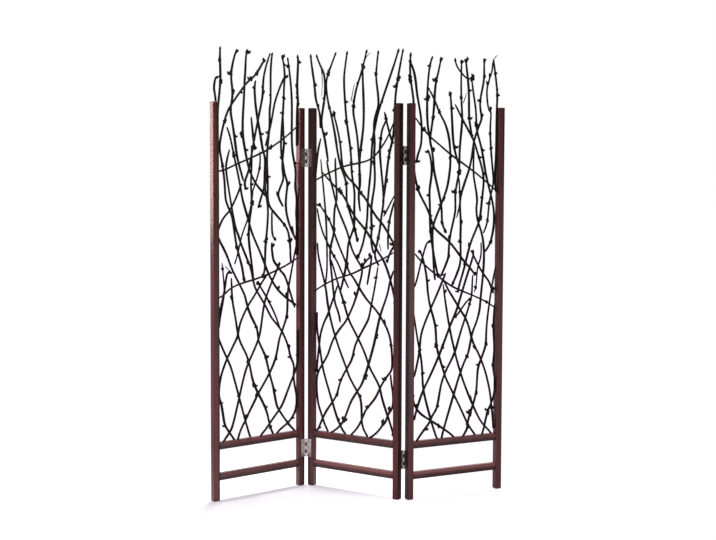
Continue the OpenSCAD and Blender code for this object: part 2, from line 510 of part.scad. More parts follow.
// Direction of the twig at a stop, in the panel's plane: upright on the rail, and level
// where a binding twig meets a post
function heading(stops, i, footed, tied) =
    let (
        last = len(stops) - 1,
        a = stops[max(0, i - 1)],
        b = stops[i],
        c = stops[min(last, i + 1)]
    )
    footed && i < 3 ? [0, 1]
    : tied && (i == 0 || i == last) ? [1, 0]
    : unit(side_step(a, b) + side_step(b, c));
function side_step(a, b) =
    let (v = [b.x - a.x, b.z - a.z]) norm(v) < eps ? [0, 0] : unit(v);
function ring(stop, way) = [
    for (k = [0 : twig_sides - 1])
        let (a = 90 + k * 360 / twig_sides)
        [
            stop.x + stop[3] * cos(a) * way.y,
            stop.y + stop[4] * sin(a),
            stop.z - stop[3] * cos(a) * way.x
        ]
];
function twig_points(twig, base, tied) =
    let (stops = twig_stops(twig, base, tied), footed = is_footed(twig))
    [
        for (i = [0 : len(stops) - 1])
            each ring(stops[i], heading(stops, i, footed, tied))
    ];

// Faces of one twig whose points start at a given number
function twig_faces(first, rings) = [
    [for (k = [0 : twig_sides - 1]) first + k],
    for (i = [0 : rings - 2], k = [0 : twig_sides - 1])
        let (a = first + i * twig_sides, next = (k + 1) % twig_sides)
        [a + k, a + twig_sides + k, a + twig_sides + next, a + next],
    [for (k = [twig_sides - 1 : -1 : 0]) first + (rings - 1) * twig_sides + k]
];
function running_sum(counts, i) = i == 0 ? 0 : running_sum(counts, i - 1) + counts[i - 1];

// All twigs of one list, each a closed body of its own
module twigs(list, base, tied = false) {
    bodies = [for (t = list) twig_points(t, base, tied)];
    counts = [for (b = bodies) len(b)];
    polyhedron(
        points = [for (b = bodies) each b],
        faces = [
            for (i = [0 : len(bodies) - 1])
                each twig_faces(running_sum(counts, i), counts[i] / twig_sides)
        ]
    );
}

// Places of the three panels
module in_centre_panel() {
    translate(-middle) rotate(-centre_turn) children();
}
module in_left_panel() {
    in_centre_panel() translate(pin_left) rotate(left_fold)
        translate(-pin_of_left) children();
}
module in_right_panel() {
    in_centre_panel() translate(pin_right) rotate(right_fold)
        translate(-pin_of_right) children();
}

// A bar along +Z with its four long edges chamfered
module chamfered_bar(w, d, h, e) {
    linear_extrude(h)
        polygon([
            [e, 0], [w - e, 0], [w, e], [w, d - e],
            [w - e, d], [e, d], [0, d - e], [0, e]
        ]);
}

// Axes of the dowels, across the joints of both rails with both posts
module at_dowels() {
    for (x = [post_s, panel_w - post_s], top = rail_tops, side = [-1, 1])
        translate([x, post_s / 2 + side * dowel_gap / 2, top - rail_h + dowel_up])
            rotate([0, 90, 0]) children();
}
module dowel_bores() {
    at_dowels()
        cylinder(
            d = dowel_d + 2 * dowel_fit,
            h = 2 * (dowel_reach + end_room),
            center = true,
            $fn = small_fn
        );
}
module rail_dowels() {
    color(beech) at_dowels()
        cylinder(d = dowel_d, h = 2 * dowel_reach, center = true, $fn = small_fn);
}

// The foot is chamfered by a wedge cut along each side
module foot_wedges() {
    for (side = [0 : 3])
        translate([post_s / 2, post_s / 2]) rotate(90 * side)
            translate([post_s, -post_s / 2]) rotate([0, -90, 0])
                linear_extrude(2 * post_s)
                    polygon([[-eps, -eps], [foot_edge, -eps], [-eps, foot_edge]]);
}

// A post at x, with the pilot holes of its hinges where it has any
module post(x, right_edge = false, behind = false, hinged = false) {
    color(stain) difference() {
        translate([x, 0]) difference() {
            chamfered_bar(post_s, post_s, post_h, post_edge);
            foot_wedges();
        }
        dowel_bores();
        if (hinged)
            for (z = hinge_zs) at_pin(right_edge, behind, z) at_screws() screw_room();
    }
}

module rail_bar(top) {
    translate([post_s, rail_front, top]) rotate([0, 90, 0])
        chamfered_bar(rail_h, rail_t, open_w, rail_edge);
}
module lower_rail() {
    color(stain) difference() {
        rail_bar(lower_rail_z);
        dowel_bores();
    }
}
// The upper rail is drilled for the peg of each twig that stands on it
module upper_rail(lists) {
    color(stain) difference() {
        rail_bar(upper_rail_z);
        dowel_bores();
        for (list = lists, twig = list)
            if (is_footed(twig)) {
                butt = butt_stop(twig, twig_d);
                translate([butt.x, butt.y, butt.z - peg_h - end_room])
                    cylinder(
                        d = peg_d + 2 * peg_fit,
                        h = peg_h + 2 * end_room,
                        $fn = small_fn
                    );
            }
    }
}

// A hinge is drawn from its pin: x runs over the leaf and y runs into the post
module at_pin(right_edge, behind, z) {
    translate([
        right_edge ? panel_w + pin_out : -pin_out,
        behind ? post_s + pin_proud : -pin_proud,
        z
    ])
        mirror([right_edge ? 1 : 0, 0, 0]) mirror([0, behind ? 1 : 0, 0]) children();
}
module at_screws() {
    for (i = [0 : screw_n - 1])
        translate([
            screw_in,
            pin_proud - leaf_t,
            lerp(-hinge_h / 2 + screw_end, hinge_h / 2 - screw_end, i / (screw_n - 1))
        ])
            rotate([-90, 0, 0]) children();
}

// A countersunk screw along +Z, its head's face at 0
module screw_body(room) {
    rotate_extrude($fn = small_fn)
        polygon([
            [0, -room], [screw_head / 2 + room, -room], [screw_head / 2 + room, screw_rim],
            [screw_d / 2 + room, screw_rim + screw_cone],
            [screw_d / 2 + room, screw_l - screw_tip + room], [0, screw_l + room]
        ]);
}
module screw_room() {
    screw_body(screw_fit);
}
module screws(right_edge, behind, z) {
    color(steel) at_pin(right_edge, behind, z) at_screws() difference() {
        screw_body(0);
        translate([0, 0, slot_deep / 2 - eps])
            cube([2 * screw_head, slot_w, slot_deep + eps], center = true);
    }
}

// The leaf has the odd knuckles and both ends, and the mate has those between them
module leaf(first) {
    difference() {
        union() {
            translate([knuckle_r + knuckle_fit, pin_proud - leaf_t, -hinge_h / 2])
                cube([leaf_w - knuckle_r - knuckle_fit, leaf_t, hinge_h]);
            for (i = [first : 2 : knuckle_n - 1]) {
                low = i == 0 ? 0 : knuckle_fit / 2;
                high = i == knuckle_n - 1 ? 0 : knuckle_fit / 2;
                translate([0, 0, -hinge_h / 2 + i * knuckle_h + low]) {
                    cylinder(r = knuckle_r, h = knuckle_h - low - high, $fn = round_fn);
                    translate([0, pin_proud - leaf_t, 0])
                        cube([leaf_w / 2, leaf_t, knuckle_h - low - high]);
                }
            }
        }
        cylinder(
            d = pin_d + 2 * pin_fit,
            h = hinge_h + 2 * end_room,
            center = true,
            $fn = round_fn
        );
        at_screws() screw_room();
    }
}
module hinge_leaf(right_edge, behind, z) {
    color(steel) at_pin(right_edge, behind, z) leaf(0);
}
module hinge_mate(right_edge, behind, z) {
    color(steel) at_pin(right_edge, behind, z) leaf(1);
}
// The pin has a low domed head at both ends
module hinge_pin(right_edge, behind, z) {
    half = hinge_h / 2;
    color(steel) at_pin(right_edge, behind, z)
        rotate_extrude($fn = round_fn)
            polygon([
                [0, -half - pin_head_h], [pin_d / 2, -half - pin_head_h],
                [pin_head_r, -half - pin_head_h / 2], [pin_head_r, -half],
                [pin_d / 2, -half], [pin_d / 2, half],
                [pin_head_r, half], [pin_head_r, half + pin_head_h / 2],
                [pin_d / 2, half + pin_head_h], [0, half + pin_head_h]
            ]);
}

// Left panel
module left_outer_post() in_left_panel() post(0);
module left_inner_post() in_left_panel() post(panel_w - post_s, true, false, true);
module left_upper_rail() in_left_panel() upper_rail([left_rising, left_leaning]);
module left_lower_rail() in_left_panel() lower_rail();
module left_rail_dowels() in_left_panel() rail_dowels();
module left_rising_twigs() in_left_panel() color(bark) twigs(left_rising, twig_d);
module left_leaning_twigs() in_left_panel() color(bark) twigs(left_leaning, twig_d);
module left_crown_twigs() in_left_panel() color(bark) twigs(left_crown, twig_d);
module left_binding_twigs() in_left_panel() color(bark) twigs(left_binding, binder_d, true);

// Centre panel
module centre_left_post() in_centre_panel() post(0, false, false, true);
module centre_right_post() in_centre_panel() post(panel_w - post_s, true, true, true);
module centre_upper_rail() in_centre_panel() upper_rail([centre_rising, centre_leaning]);
module centre_lower_rail() in_centre_panel() lower_rail();
module centre_rail_dowels() in_centre_panel() rail_dowels();
module centre_rising_twigs() in_centre_panel() color(bark) twigs(centre_rising, twig_d);
module centre_leaning_twigs() in_centre_panel() color(bark) twigs(centre_leaning, twig_d);
module centre_crown_twigs() in_centre_panel() color(bark) twigs(centre_crown, twig_d);
module centre_binding_twigs() in_centre_panel() color(bark) twigs(centre_binding, binder_d, true);

// Right panel
module right_inner_post() in_right_panel() post(0, false, true, true);
module right_outer_post() in_right_panel() post(panel_w - post_s);
module right_upper_rail() in_right_panel() upper_rail([right_rising, right_leaning]);
module right_lower_rail() in_right_panel() lower_rail();
module right_rail_dowels() in_right_panel() rail_dowels();
module right_rising_twigs() in_right_panel() color(bark) twigs(right_rising, twig_d);
module right_leaning_twigs() in_right_panel() color(bark) twigs(right_leaning, twig_d);
module right_crown_twigs() in_right_panel() color(bark) twigs(right_crown, twig_d);
module right_binding_twigs() in_right_panel() color(bark) twigs(right_binding, binder_d, true);

// Hinges between the left and centre panels, on their front faces
module left_low_hinge_leaf() in_centre_panel() hinge_leaf(false, false, low_hinge_z);
module left_low_hinge_mate() in_left_panel() hinge_mate(true, false, low_hinge_z);
module left_low_hinge_pin() in_centre_panel() hinge_pin(false, false, low_hinge_z);
module left_low_leaf_screws() in_centre_panel() screws(false, false, low_hinge_z);
module left_low_mate_screws() in_left_panel() screws(true, false, low_hinge_z);
module left_high_hinge_leaf() in_centre_panel() hinge_leaf(false, false, high_hinge_z);
module left_high_hinge_mate() in_left_panel() hinge_mate(true, false, high_hinge_z);
module left_high_hinge_pin() in_centre_panel() hinge_pin(false, false, high_hinge_z);
module left_high_leaf_screws() in_centre_panel() screws(false, false, high_hinge_z);
module left_high_mate_screws() in_left_panel() screws(true, false, high_hinge_z);

// Hinges between the centre and right panels, on their back faces
module right_low_hinge_leaf() in_centre_panel() hinge_leaf(true, true, low_hinge_z);
module right_low_hinge_mate() in_right_panel() hinge_mate(false, true, low_hinge_z);
module right_low_hinge_pin() in_centre_panel() hinge_pin(true, true, low_hinge_z);
module right_low_leaf_screws() in_centre_panel() screws(true, true, low_hinge_z);
module right_low_mate_screws() in_right_panel() screws(false, true, low_hinge_z);
module right_high_hinge_leaf() in_centre_panel() hinge_leaf(true, true, high_hinge_z);
module right_high_hinge_mate() in_right_panel() hinge_mate(false, true, high_hinge_z);
module right_high_hinge_pin() in_centre_panel() hinge_pin(true, true, high_hinge_z);
module right_high_leaf_screws() in_centre_panel() screws(true, true, high_hinge_z);
module right_high_mate_screws() in_right_panel() screws(false, true, high_hinge_z);

left_outer_post();
left_inner_post();
left_upper_rail();
left_lower_rail();
left_rail_dowels();
left_rising_twigs();
left_leaning_twigs();
left_crown_twigs();
left_binding_twigs();
centre_left_post();
centre_right_post();
centre_upper_rail();
centre_lower_rail();
centre_rail_dowels();
centre_rising_twigs();
centre_leaning_twigs();
centre_crown_twigs();
centre_binding_twigs();
right_inner_post();
right_outer_post();
right_upper_rail();
right_lower_rail();
right_rail_dowels();
right_rising_twigs();
right_leaning_twigs();
right_crown_twigs();
right_binding_twigs();
left_low_hinge_leaf();
left_low_hinge_mate();
left_low_hinge_pin();
left_low_leaf_screws();
left_low_mate_screws();
left_high_hinge_leaf();
left_high_hinge_mate();
left_high_hinge_pin();
left_high_leaf_screws();
left_high_mate_screws();
right_low_hinge_leaf();
right_low_hinge_mate();
right_low_hinge_pin();
right_low_leaf_screws();
right_low_mate_screws();
right_high_hinge_leaf();
right_high_hinge_mate();
right_high_hinge_pin();
right_high_leaf_screws();
right_high_mate_screws();
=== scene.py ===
# %% [markdown]
# # A folding screen filled with branches
# Three narrow wooden frames stand in a zigzag. Each one holds a thicket of dark, crooked twigs
# that rise past the tops of the posts. The solids of the frames, twigs and hinges come from the
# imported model. This lesson gives them their real surfaces: stained wood, rough bark, dull steel.

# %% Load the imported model
import math
import random

import bpy
from mathutils import Matrix, Vector
from mathutils.kdtree import KDTree


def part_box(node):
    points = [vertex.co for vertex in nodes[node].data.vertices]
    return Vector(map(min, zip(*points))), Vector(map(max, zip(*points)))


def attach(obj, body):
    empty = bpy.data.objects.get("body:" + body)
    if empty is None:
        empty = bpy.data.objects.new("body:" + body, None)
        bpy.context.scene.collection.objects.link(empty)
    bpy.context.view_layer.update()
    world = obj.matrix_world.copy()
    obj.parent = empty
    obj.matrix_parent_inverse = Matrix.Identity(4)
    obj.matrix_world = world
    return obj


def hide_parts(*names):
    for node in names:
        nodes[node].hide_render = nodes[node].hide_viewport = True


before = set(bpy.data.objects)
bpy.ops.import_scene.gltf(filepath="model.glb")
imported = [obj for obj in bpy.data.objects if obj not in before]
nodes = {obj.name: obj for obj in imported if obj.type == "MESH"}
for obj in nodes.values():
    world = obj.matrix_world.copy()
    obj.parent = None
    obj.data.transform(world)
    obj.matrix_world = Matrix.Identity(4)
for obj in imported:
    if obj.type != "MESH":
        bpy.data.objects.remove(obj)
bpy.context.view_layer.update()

MM = 0.001

# %% [markdown]
# ## The camera
# The photograph was taken from about four and a half metres away, at shoulder height, and looks
# very slightly down. A long lens keeps the posts almost upright. The place was found by matching
# the corners of the six posts, so the render and the photograph can be laid over each other.

# %% Place the camera
photo_wide = 716
focal_pixels = 1123
eye = Vector((-0.0575, -4.626, 1.178))
look_down = math.radians(3.07)
look_right = math.radians(0.6)
lean = math.radians(0.2)

lens = bpy.data.cameras.new("photo_camera")
lens.sensor_width = 36
lens.lens = focal_pixels / photo_wide * lens.sensor_width
camera = bpy.data.objects.new("photo_camera", lens)
bpy.context.collection.objects.link(camera)
camera.location = eye
upright = Matrix.Rotation(-look_right, 4, "Z") @ Matrix.Rotation(math.radians(90) - look_down, 4, "X")
camera.rotation_euler = (upright @ Matrix.Rotation(lean, 4, "Z")).to_euler()
bpy.context.scene.camera = camera
print("lens", round(lens.lens, 1), "mm")

# %% [markdown]
# ## Where the panels are
# Small pieces are placed by how far they lie along a panel and how high they are. So each panel
# needs its own directions: along it, through it, and up. They are read from its two posts.

# %% Find the directions of each panel
panel_posts = {
    "left": ("left_outer_post", "left_inner_post"),
    "centre": ("centre_left_post", "centre_right_post"),
    "right": ("right_inner_post", "right_outer_post"),
}
post_s = 27 * MM


def middle_of(node):
    low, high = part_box(node)
    return (low + high) / 2


def panel_place(side):
    first, last = (middle_of(post) for post in panel_posts[side])
    along = last - first
    along.z = 0
    along.normalize()
    back = Vector((-along.y, along.x, 0))
    corner = first - (along + back) * post_s / 2
    corner.z = 0
    turn = Matrix((along, back, Vector((0, 0, 1)))).transposed().to_4x4()
    return Matrix.Translation(corner) @ turn


places = {side: panel_place(side) for side in panel_posts}
turns = {side: math.atan2(m[1][0], m[0][0]) for side, m in places.items()}
print("panel angles", {side: round(math.degrees(a), 1) for side, a in turns.items()})

# %% [markdown]
# ## Building materials from small shared effects
# Grain and rubbed edges appear in more than one material. Each is a node group that is made once
# and gives back only masks and normals, and the material decides what to do with them. The helpers
# here each add a node or two. Whatever they are given is linked if it is a socket and set if it is
# a plain value, and they hand back the socket that the next step needs. A value whose name ends in
# noise, step or relief holds what the helper takes: the scale, detail and roughness of a noise,
# where a step starts and ends and what it gives there, the strength and depth of a relief.

# %% Helpers for node trees
# sockets of the Mix node in its colour form
MIX_FACTOR, MIX_A, MIX_B, MIX_OUT = 0, 6, 7, 2


def is_socket(value):
    return isinstance(value, bpy.types.NodeSocket)


def feed(tree, socket, value):
    """Link a socket to another one, or set it to a plain value."""
    if is_socket(value):
        tree.links.new(value, socket)
    else:
        socket.default_value = value


def put(tree, kind, inputs=None, **settings):
    """Add a node, set its properties by name and feed its inputs by a dictionary."""
    node = tree.nodes.new(kind)
    for name, value in settings.items():
        setattr(node, name, value)
    for name, value in (inputs or {}).items():
        feed(tree, node.inputs[name], value)
    return node


def effect(name, inputs, outputs):
    """A node group with named sockets. Returns the tree and its two end nodes."""
    tree = bpy.data.node_groups.new(name, "ShaderNodeTree")
    for label, kind in inputs:
        tree.interface.new_socket(label, in_out="INPUT", socket_type=kind)
    for label, kind in outputs:
        tree.interface.new_socket(label, in_out="OUTPUT", socket_type=kind)
    return tree, tree.nodes.new("NodeGroupInput"), tree.nodes.new("NodeGroupOutput")


def step(tree, value, low, high, dark=0.0, light=1.0):
    """A soft step from dark to light while a value goes from low to high."""
    spans = {"From Min": low, "From Max": high, "To Min": dark, "To Max": light}
    node = put(tree, "ShaderNodeMapRange", {"Value": value, **spans},
               interpolation_type="SMOOTHSTEP")
    return node.outputs[0]


def calc(tree, operation, first, second):
    """One sum on two values."""
    return put(tree, "ShaderNodeMath", {0: first, 1: second}, operation=operation).outputs[0]


def stretched(tree, where, squeeze):
    """Coordinates that draw a pattern out in each direction whose squeeze is small."""
    return put(tree, "ShaderNodeMapping", {"Vector": where, "Scale": squeeze}).outputs[0]


def noise(tree, where, scale, detail, roughness=0.5):
    values = {"Vector": where, "Scale": scale, "Detail": detail, "Roughness": roughness}
    return put(tree, "ShaderNodeTexNoise", values).outputs["Fac"]


def blend_colours(tree, mask, first, second):
    """Mix two colours by a mask."""
    first, second = (c if is_socket(c) else (*c, 1) for c in (first, second))
    node = put(tree, "ShaderNodeMix", {MIX_FACTOR: mask, MIX_A: first, MIX_B: second},
               data_type="RGBA")
    return node.outputs[MIX_OUT]


def raise_bumps(tree, shader, height, strength, depth, under=None):
    """Turn the surface's normal by a height, on top of another normal where one is given."""
    bump = put(tree, "ShaderNodeBump", {"Height": height, "Strength": strength, "Distance": depth})
    if under is not None:
        feed(tree, bump.inputs["Normal"], under)
    feed(tree, shader.inputs["Normal"], bump.outputs[0])


print("helpers ready")

# %% [markdown]
# ### Wood figure
# Sawn timber shows long streaks along the length of the board, fine pores that the stain fills
# with a darker colour, and broad patches where the brush left more or less stain. Stretching a
# noise pattern along one direction gives all of these.

# %% Make the wood figure effect
# of each pattern: its squeeze, its scale and detail, and where its soft step starts and ends
wood_patterns = (
    ("Streaks", (1, 1, 0.012), 260, 3, 0.35, 0.68),
    ("Pores", (1, 1, 0.006), 900, 2, 0.60, 0.74),
    ("Patches", (1, 1, 0.16), 26, 3, 0.34, 0.70),
)
wood_roughness = 0.55

figure, given, result = effect(
    "wood figure",
    [("Vector", "NodeSocketVector")],
    [(pattern[0], "NodeSocketFloat") for pattern in wood_patterns],
)
for label, squeeze, scale, detail, low, high in wood_patterns:
    drawn_out = stretched(figure, given.outputs["Vector"], squeeze)
    fibres = noise(figure, drawn_out, scale, detail, wood_roughness)
    feed(figure, result.inputs[label], step(figure, fibres, low, high))
print("wood figure", len(figure.nodes), "nodes")

# %% [markdown]
# ### Eased and rubbed edges
# The edges of the posts and rails are eased by a few strokes of sandpaper, and years of carrying
# wear the stain off them. The Bevel shader node gives a normal that turns softly round each edge,
# without a single new face. Where that normal turns away from the true one, an edge is near. The
# wear comes in long patches, drawn out along the grain.

# %% Make the eased edge effect
edge_turn = (0.995, 0.90)
wear_squeeze = (1, 1, 0.12)
wear_scale = 90
wear_detail = 2
wear_patches = (0.46, 0.64)

eased, given, result = effect(
    "eased edges",
    [("Width", "NodeSocketFloat"), ("Roundness", "NodeSocketFloat"),
     ("Vector", "NodeSocketVector")],
    [("Edge", "NodeSocketFloat"), ("Normal", "NodeSocketVector")],
)
sharp = put(eased, "ShaderNodeBevel", {"Radius": given.outputs["Width"]}, samples=4)
soft = put(eased, "ShaderNodeBevel", {"Radius": given.outputs["Roundness"]}, samples=6)
flat = put(eased, "ShaderNodeNewGeometry")
alike = put(eased, "ShaderNodeVectorMath", {0: sharp.outputs[0], 1: flat.outputs["Normal"]},
            operation="DOT_PRODUCT")
edge = step(eased, alike.outputs["Value"], *edge_turn)
drawn_out = stretched(eased, given.outputs["Vector"], wear_squeeze)
patchy = step(eased, noise(eased, drawn_out, wear_scale, wear_detail), *wear_patches)
feed(eased, result.inputs["Edge"], calc(eased, "MULTIPLY", edge, patchy))
feed(eased, result.inputs["Normal"], soft.outputs[0])
print("eased edges", len(eased.nodes), "nodes")

# %% [markdown]
# ### Stained wood
# The frames are a cheap light timber under a dark red-brown stain with a satin varnish. The posts
# have their grain upright. The rails have theirs along the panel, so the pattern is laid down and
# turned by the panel's own angle before it reaches the wood figure. Painted shade darkens the lower
# half of a rail, and painted light makes its upper half paler. Painted shade also darkens most posts
# towards one face, which for the inner posts is the face in a hinge's gap, and the two posts of the
# centre panel near their tops. Painted light makes the left outer post paler near its foot. So each
# wood can be given painted shading: a way in which it changes, where that starts and ends, how much,
# and to what colour. The varnish on the right one of the centre panel's two posts is dull.

# %% Make the stained wood
stain_deep = (0.052, 0.0080, 0.0092)
stain_mid = (0.130, 0.0225, 0.0250)
stain_thin = (0.270, 0.064, 0.060)
# painted light: the paler tone of the upper half of rails and of the left outer post's foot
painted_light = (0.360, 0.125, 0.112)
# painted shade: the dark tone of the lower half of rails, of post faces and of the centre posts' tops
painted_shade = (0.0180, 0.0044, 0.0052)
bare_wood = (0.30, 0.125, 0.10)
streak_share = 0.5
edge_width = 1.2 * MM
edge_wear = 0.45
varnish_roughness = (0.36, 0.50)
varnish_coat = 0.15
coat_roughness = 0.3
dull_shine = 0.3
wood_relief = (0.35, 0.4 * MM)


def use(tree, group_tree, inputs):
    """Place a shared effect in a material, and return its outputs."""
    return put(tree, "ShaderNodeGroup", inputs, node_tree=group_tree).outputs


def new_material(name, roughness=0.5, metallic=0.0):
    material = bpy.data.materials.new(name)
    material.use_nodes = True
    shader = material.node_tree.nodes["Principled BSDF"]
    shader.inputs["Roughness"].default_value = roughness
    shader.inputs["Metallic"].default_value = metallic
    return material, material.node_tree, shader


def object_coordinates(tree, turn=(0, 0, 0)):
    place = put(tree, "ShaderNodeTexCoord").outputs["Object"]
    return put(tree, "ShaderNodeMapping", {"Vector": place, "Rotation": turn}).outputs[0]


def blend_along(tree, colour, way, start, end, most, towards):
    """Blend a colour in as the surface goes on in one way, from a start to an end in metres."""
    place = put(tree, "ShaderNodeTexCoord").outputs["Object"]
    along = put(tree, "ShaderNodeVectorMath", {0: place, 1: way}, operation="DOT_PRODUCT")
    amount = step(tree, along.outputs["Value"], start, end, 0, most)
    return blend_colours(tree, amount, colour, towards)


def stained_wood(name, roundness, turn=(0, 0, 0), painted_shading=()):
    material, tree, shader = new_material(name)
    where = object_coordinates(tree, turn)
    wood = use(tree, figure, {"Vector": where})
    edges = use(tree, eased, {"Vector": where, "Width": edge_width, "Roundness": roundness})
    colour = blend_colours(tree, wood["Patches"], stain_deep, stain_mid)
    streaks = calc(tree, "MULTIPLY", wood["Streaks"], streak_share)
    colour = blend_colours(tree, streaks, colour, stain_thin)
    colour = blend_colours(tree, wood["Pores"], colour, stain_deep)
    # painted light and painted shade, each blended in by place
    for shading in painted_shading:
        colour = blend_along(tree, colour, *shading)
    worn = calc(tree, "MULTIPLY", edges["Edge"], edge_wear)
    feed(tree, shader.inputs["Base Color"], blend_colours(tree, worn, colour, bare_wood))
    feed(tree, shader.inputs["Roughness"], step(tree, wood["Streaks"], 0, 1, *varnish_roughness))
    relief = calc(tree, "SUBTRACT", wood["Streaks"], wood["Pores"])
    raise_bumps(tree, shader, relief, *wood_relief, under=edges["Normal"])
    shader.inputs["Coat Weight"].default_value = varnish_coat
    shader.inputs["Coat Roughness"].default_value = coat_roughness
    return material


UP, DOWN = (0, 0, 1), (0, 0, -1)
post_round = 4.5 * MM
rail_round = 11 * MM
# how far painted shade goes towards its colour
shade_share = 0.85
# painted shade on a post's face is full within a third of its reach
shade_core = 3
# how far above or below the middle of a rail its painted light and painted shade start or are full,
# in shares of half of it
light_full = 0.5
shade_start = 0.2
shade_full = 0.8
post_wood = stained_wood("stained_wood_posts", post_round)


def shaded_post_wood(side, post, outward, reach, *more_shading):
    """The wood of a post whose painted shade darkens towards one of its faces."""
    way = Vector(places[side].col[0][:3]) * outward
    face = middle_of(post).dot(way) + post_s / 2
    # painted shade, darkening towards the face
    face_shade = (way, face - reach * MM, face - reach * MM / shade_core, shade_share, painted_shade)
    return stained_wood(f"stained_wood_{post}", post_round, painted_shading=(*more_shading, face_shade))


def rail_wood(side, rail, light_share):
    """The wood of a rail: painted shade below its middle and painted light above it."""
    low, high = (corner.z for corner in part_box(rail))
    middle, half = (low + high) / 2, (high - low) / 2
    # painted light on the upper half and painted shade on the lower half of the rail
    lit_top = (UP, middle, middle + light_full * half, light_share, painted_light)
    shaded_foot = (DOWN, -middle - shade_start * half, half * shade_full - middle, shade_share, painted_shade)
    return stained_wood(f"stained_wood_{rail}", rail_round, (0, math.radians(90), -turns[side]),
                        (lit_top, shaded_foot))


# of each post: its panel, on which side its painted shade darkens, the reach of that shade in
# millimetres, and where it has one, a band by height: painted light at the left outer post's foot,
# painted shade at the centre posts' tops
shaded_posts = (
    # painted light near the left outer post's foot
    ("left", "left_outer_post", 1, 12, (DOWN, -0.95, -0.55, 0.18, painted_light)),
    ("left", "left_inner_post", 1, 17),
    # painted shade near the tops of the centre panel's two posts
    ("centre", "centre_left_post", -1, 15, (UP, 0.75, 1.45, 0.6, painted_shade)),
    ("centre", "centre_right_post", 1, 4, (UP, 0.5, 0.75, 0.5, painted_shade)),
    ("right", "right_inner_post", -1, 4),
)
# how much painted light the upper and the lower rail of each panel have above their middle
rail_light_shares = {"left": (0.4, 0.25), "centre": (0.15, 0.9), "right": (0.35, 1.0)}
woods = {row[1]: shaded_post_wood(*row) for row in shaded_posts}
for side, (upper_light, lower_light) in rail_light_shares.items():
    woods[f"{side}_upper_rail"] = rail_wood(side, f"{side}_upper_rail", upper_light)
    woods[f"{side}_lower_rail"] = rail_wood(side, f"{side}_lower_rail", lower_light)
dull = woods["centre_right_post"].node_tree.nodes["Principled BSDF"]
dull.inputs["Coat Weight"].default_value = 0
dull.inputs["Specular IOR Level"].default_value = dull_shine
print("stained woods", 1 + len(woods))

# %% [markdown]
# The posts and rails keep the shape that they have in the imported model and only get their wood.
# Just the right outer post has the plain one, without painted light or shade.

# %% Give the frames their wood
def clothe(node, material):
    """Put one material on a CAD node, whose shape is already right."""
    obj = nodes[node]
    if not obj.data.materials:
        obj.data.materials.append(material)
    for number in range(len(obj.material_slots)):
        obj.material_slots[number].material = material


for side, posts in panel_posts.items():
    for piece in (*posts, f"{side}_upper_rail", f"{side}_lower_rail"):
        clothe(piece, woods.get(piece, post_wood))
print("posts and rails have their wood")

# %% [markdown]
# ### Beech dowels
# The rails are held by fluted beech dowels that nobody sees once the frame is glued. They get a
# plain pale wood, so that the model is right when it is taken apart.

# %% Make the dowels' wood
beech_dark = (0.52, 0.33, 0.17)
beech_pale = (0.66, 0.45, 0.25)
dowel_wood, tree, shader = new_material("dowel_wood", 0.6)
lying = object_coordinates(tree, (0, math.radians(90), 0))
streaks = use(tree, figure, {"Vector": lying})["Streaks"]
feed(tree, shader.inputs["Base Color"], blend_colours(tree, streaks, beech_dark, beech_pale))
for side in panel_posts:
    clothe(f"{side}_rail_dowels", dowel_wood)
print("dowels done")

# %% [markdown]
# ### Dull steel hinges
# The butt hinges are plain pressed steel gone a little grey and brown. Tiny scratches run along
# the leaf, and grime sits in patches. The knuckles of one leaf carry a painted highlight, and
# those of its mate between them painted shade, so the barrel looks striped.

# %% Make the hinge metal
plate_colours = ((0.80, 0.72, 0.70), (0.26, 0.19, 0.17))
screw_colours = ((0.42, 0.36, 0.34), (0.14, 0.11, 0.10))
# painted highlight on one leaf's knuckles and painted shade on its mate's: colour and share
barrel_painted_highlight = ((0.90, 0.84, 0.82), 0.8)
barrel_painted_shade = ((0.045, 0.036, 0.036), 0.9)
barrel_reach = 4.2 * MM
barrel_edge = 0.5 * MM
grime_noise = (260, 4, 0.65)
grime_step = (0.50, 0.72, 0, 0.7)
scratch_squeeze = (1, 1, 0.08)
scratch_noise = (700, 2)
roughness_step = (0.3, 0.7, 0.2, 0.38)
scratch_relief = (0.2, 0.2 * MM)


def near_pin(tree, where, pin, share):
    """A mask for the barrel of a hinge, which is round its pin."""
    from_pin = put(tree, "ShaderNodeVectorMath", {0: where, 1: pin}, operation="SUBTRACT")
    level = put(tree, "ShaderNodeVectorMath", {0: from_pin.outputs[0], 1: (1, 1, 0)},
                operation="MULTIPLY")
    distance = put(tree, "ShaderNodeVectorMath", {0: level.outputs[0]}, operation="LENGTH")
    return step(tree, distance.outputs["Value"], barrel_reach, barrel_reach - barrel_edge, 0, share)


def hinge_metal(name, colours, pin=None, barrel=None):
    """Steel with grime. A pin and a barrel's colour and share give it a barrel that differs."""
    material, tree, shader = new_material(name, metallic=1.0)
    where = object_coordinates(tree)
    dirty = step(tree, noise(tree, where, *grime_noise), *grime_step)
    colour = blend_colours(tree, dirty, *colours)
    if barrel:
        barrel_colour, share = barrel
        colour = blend_colours(tree, near_pin(tree, where, pin, share), colour, barrel_colour)
    feed(tree, shader.inputs["Base Color"], colour)
    scratches = noise(tree, stretched(tree, where, scratch_squeeze), *scratch_noise)
    feed(tree, shader.inputs["Roughness"], step(tree, scratches, *roughness_step))
    raise_bumps(tree, shader, scratches, *scratch_relief)
    return material


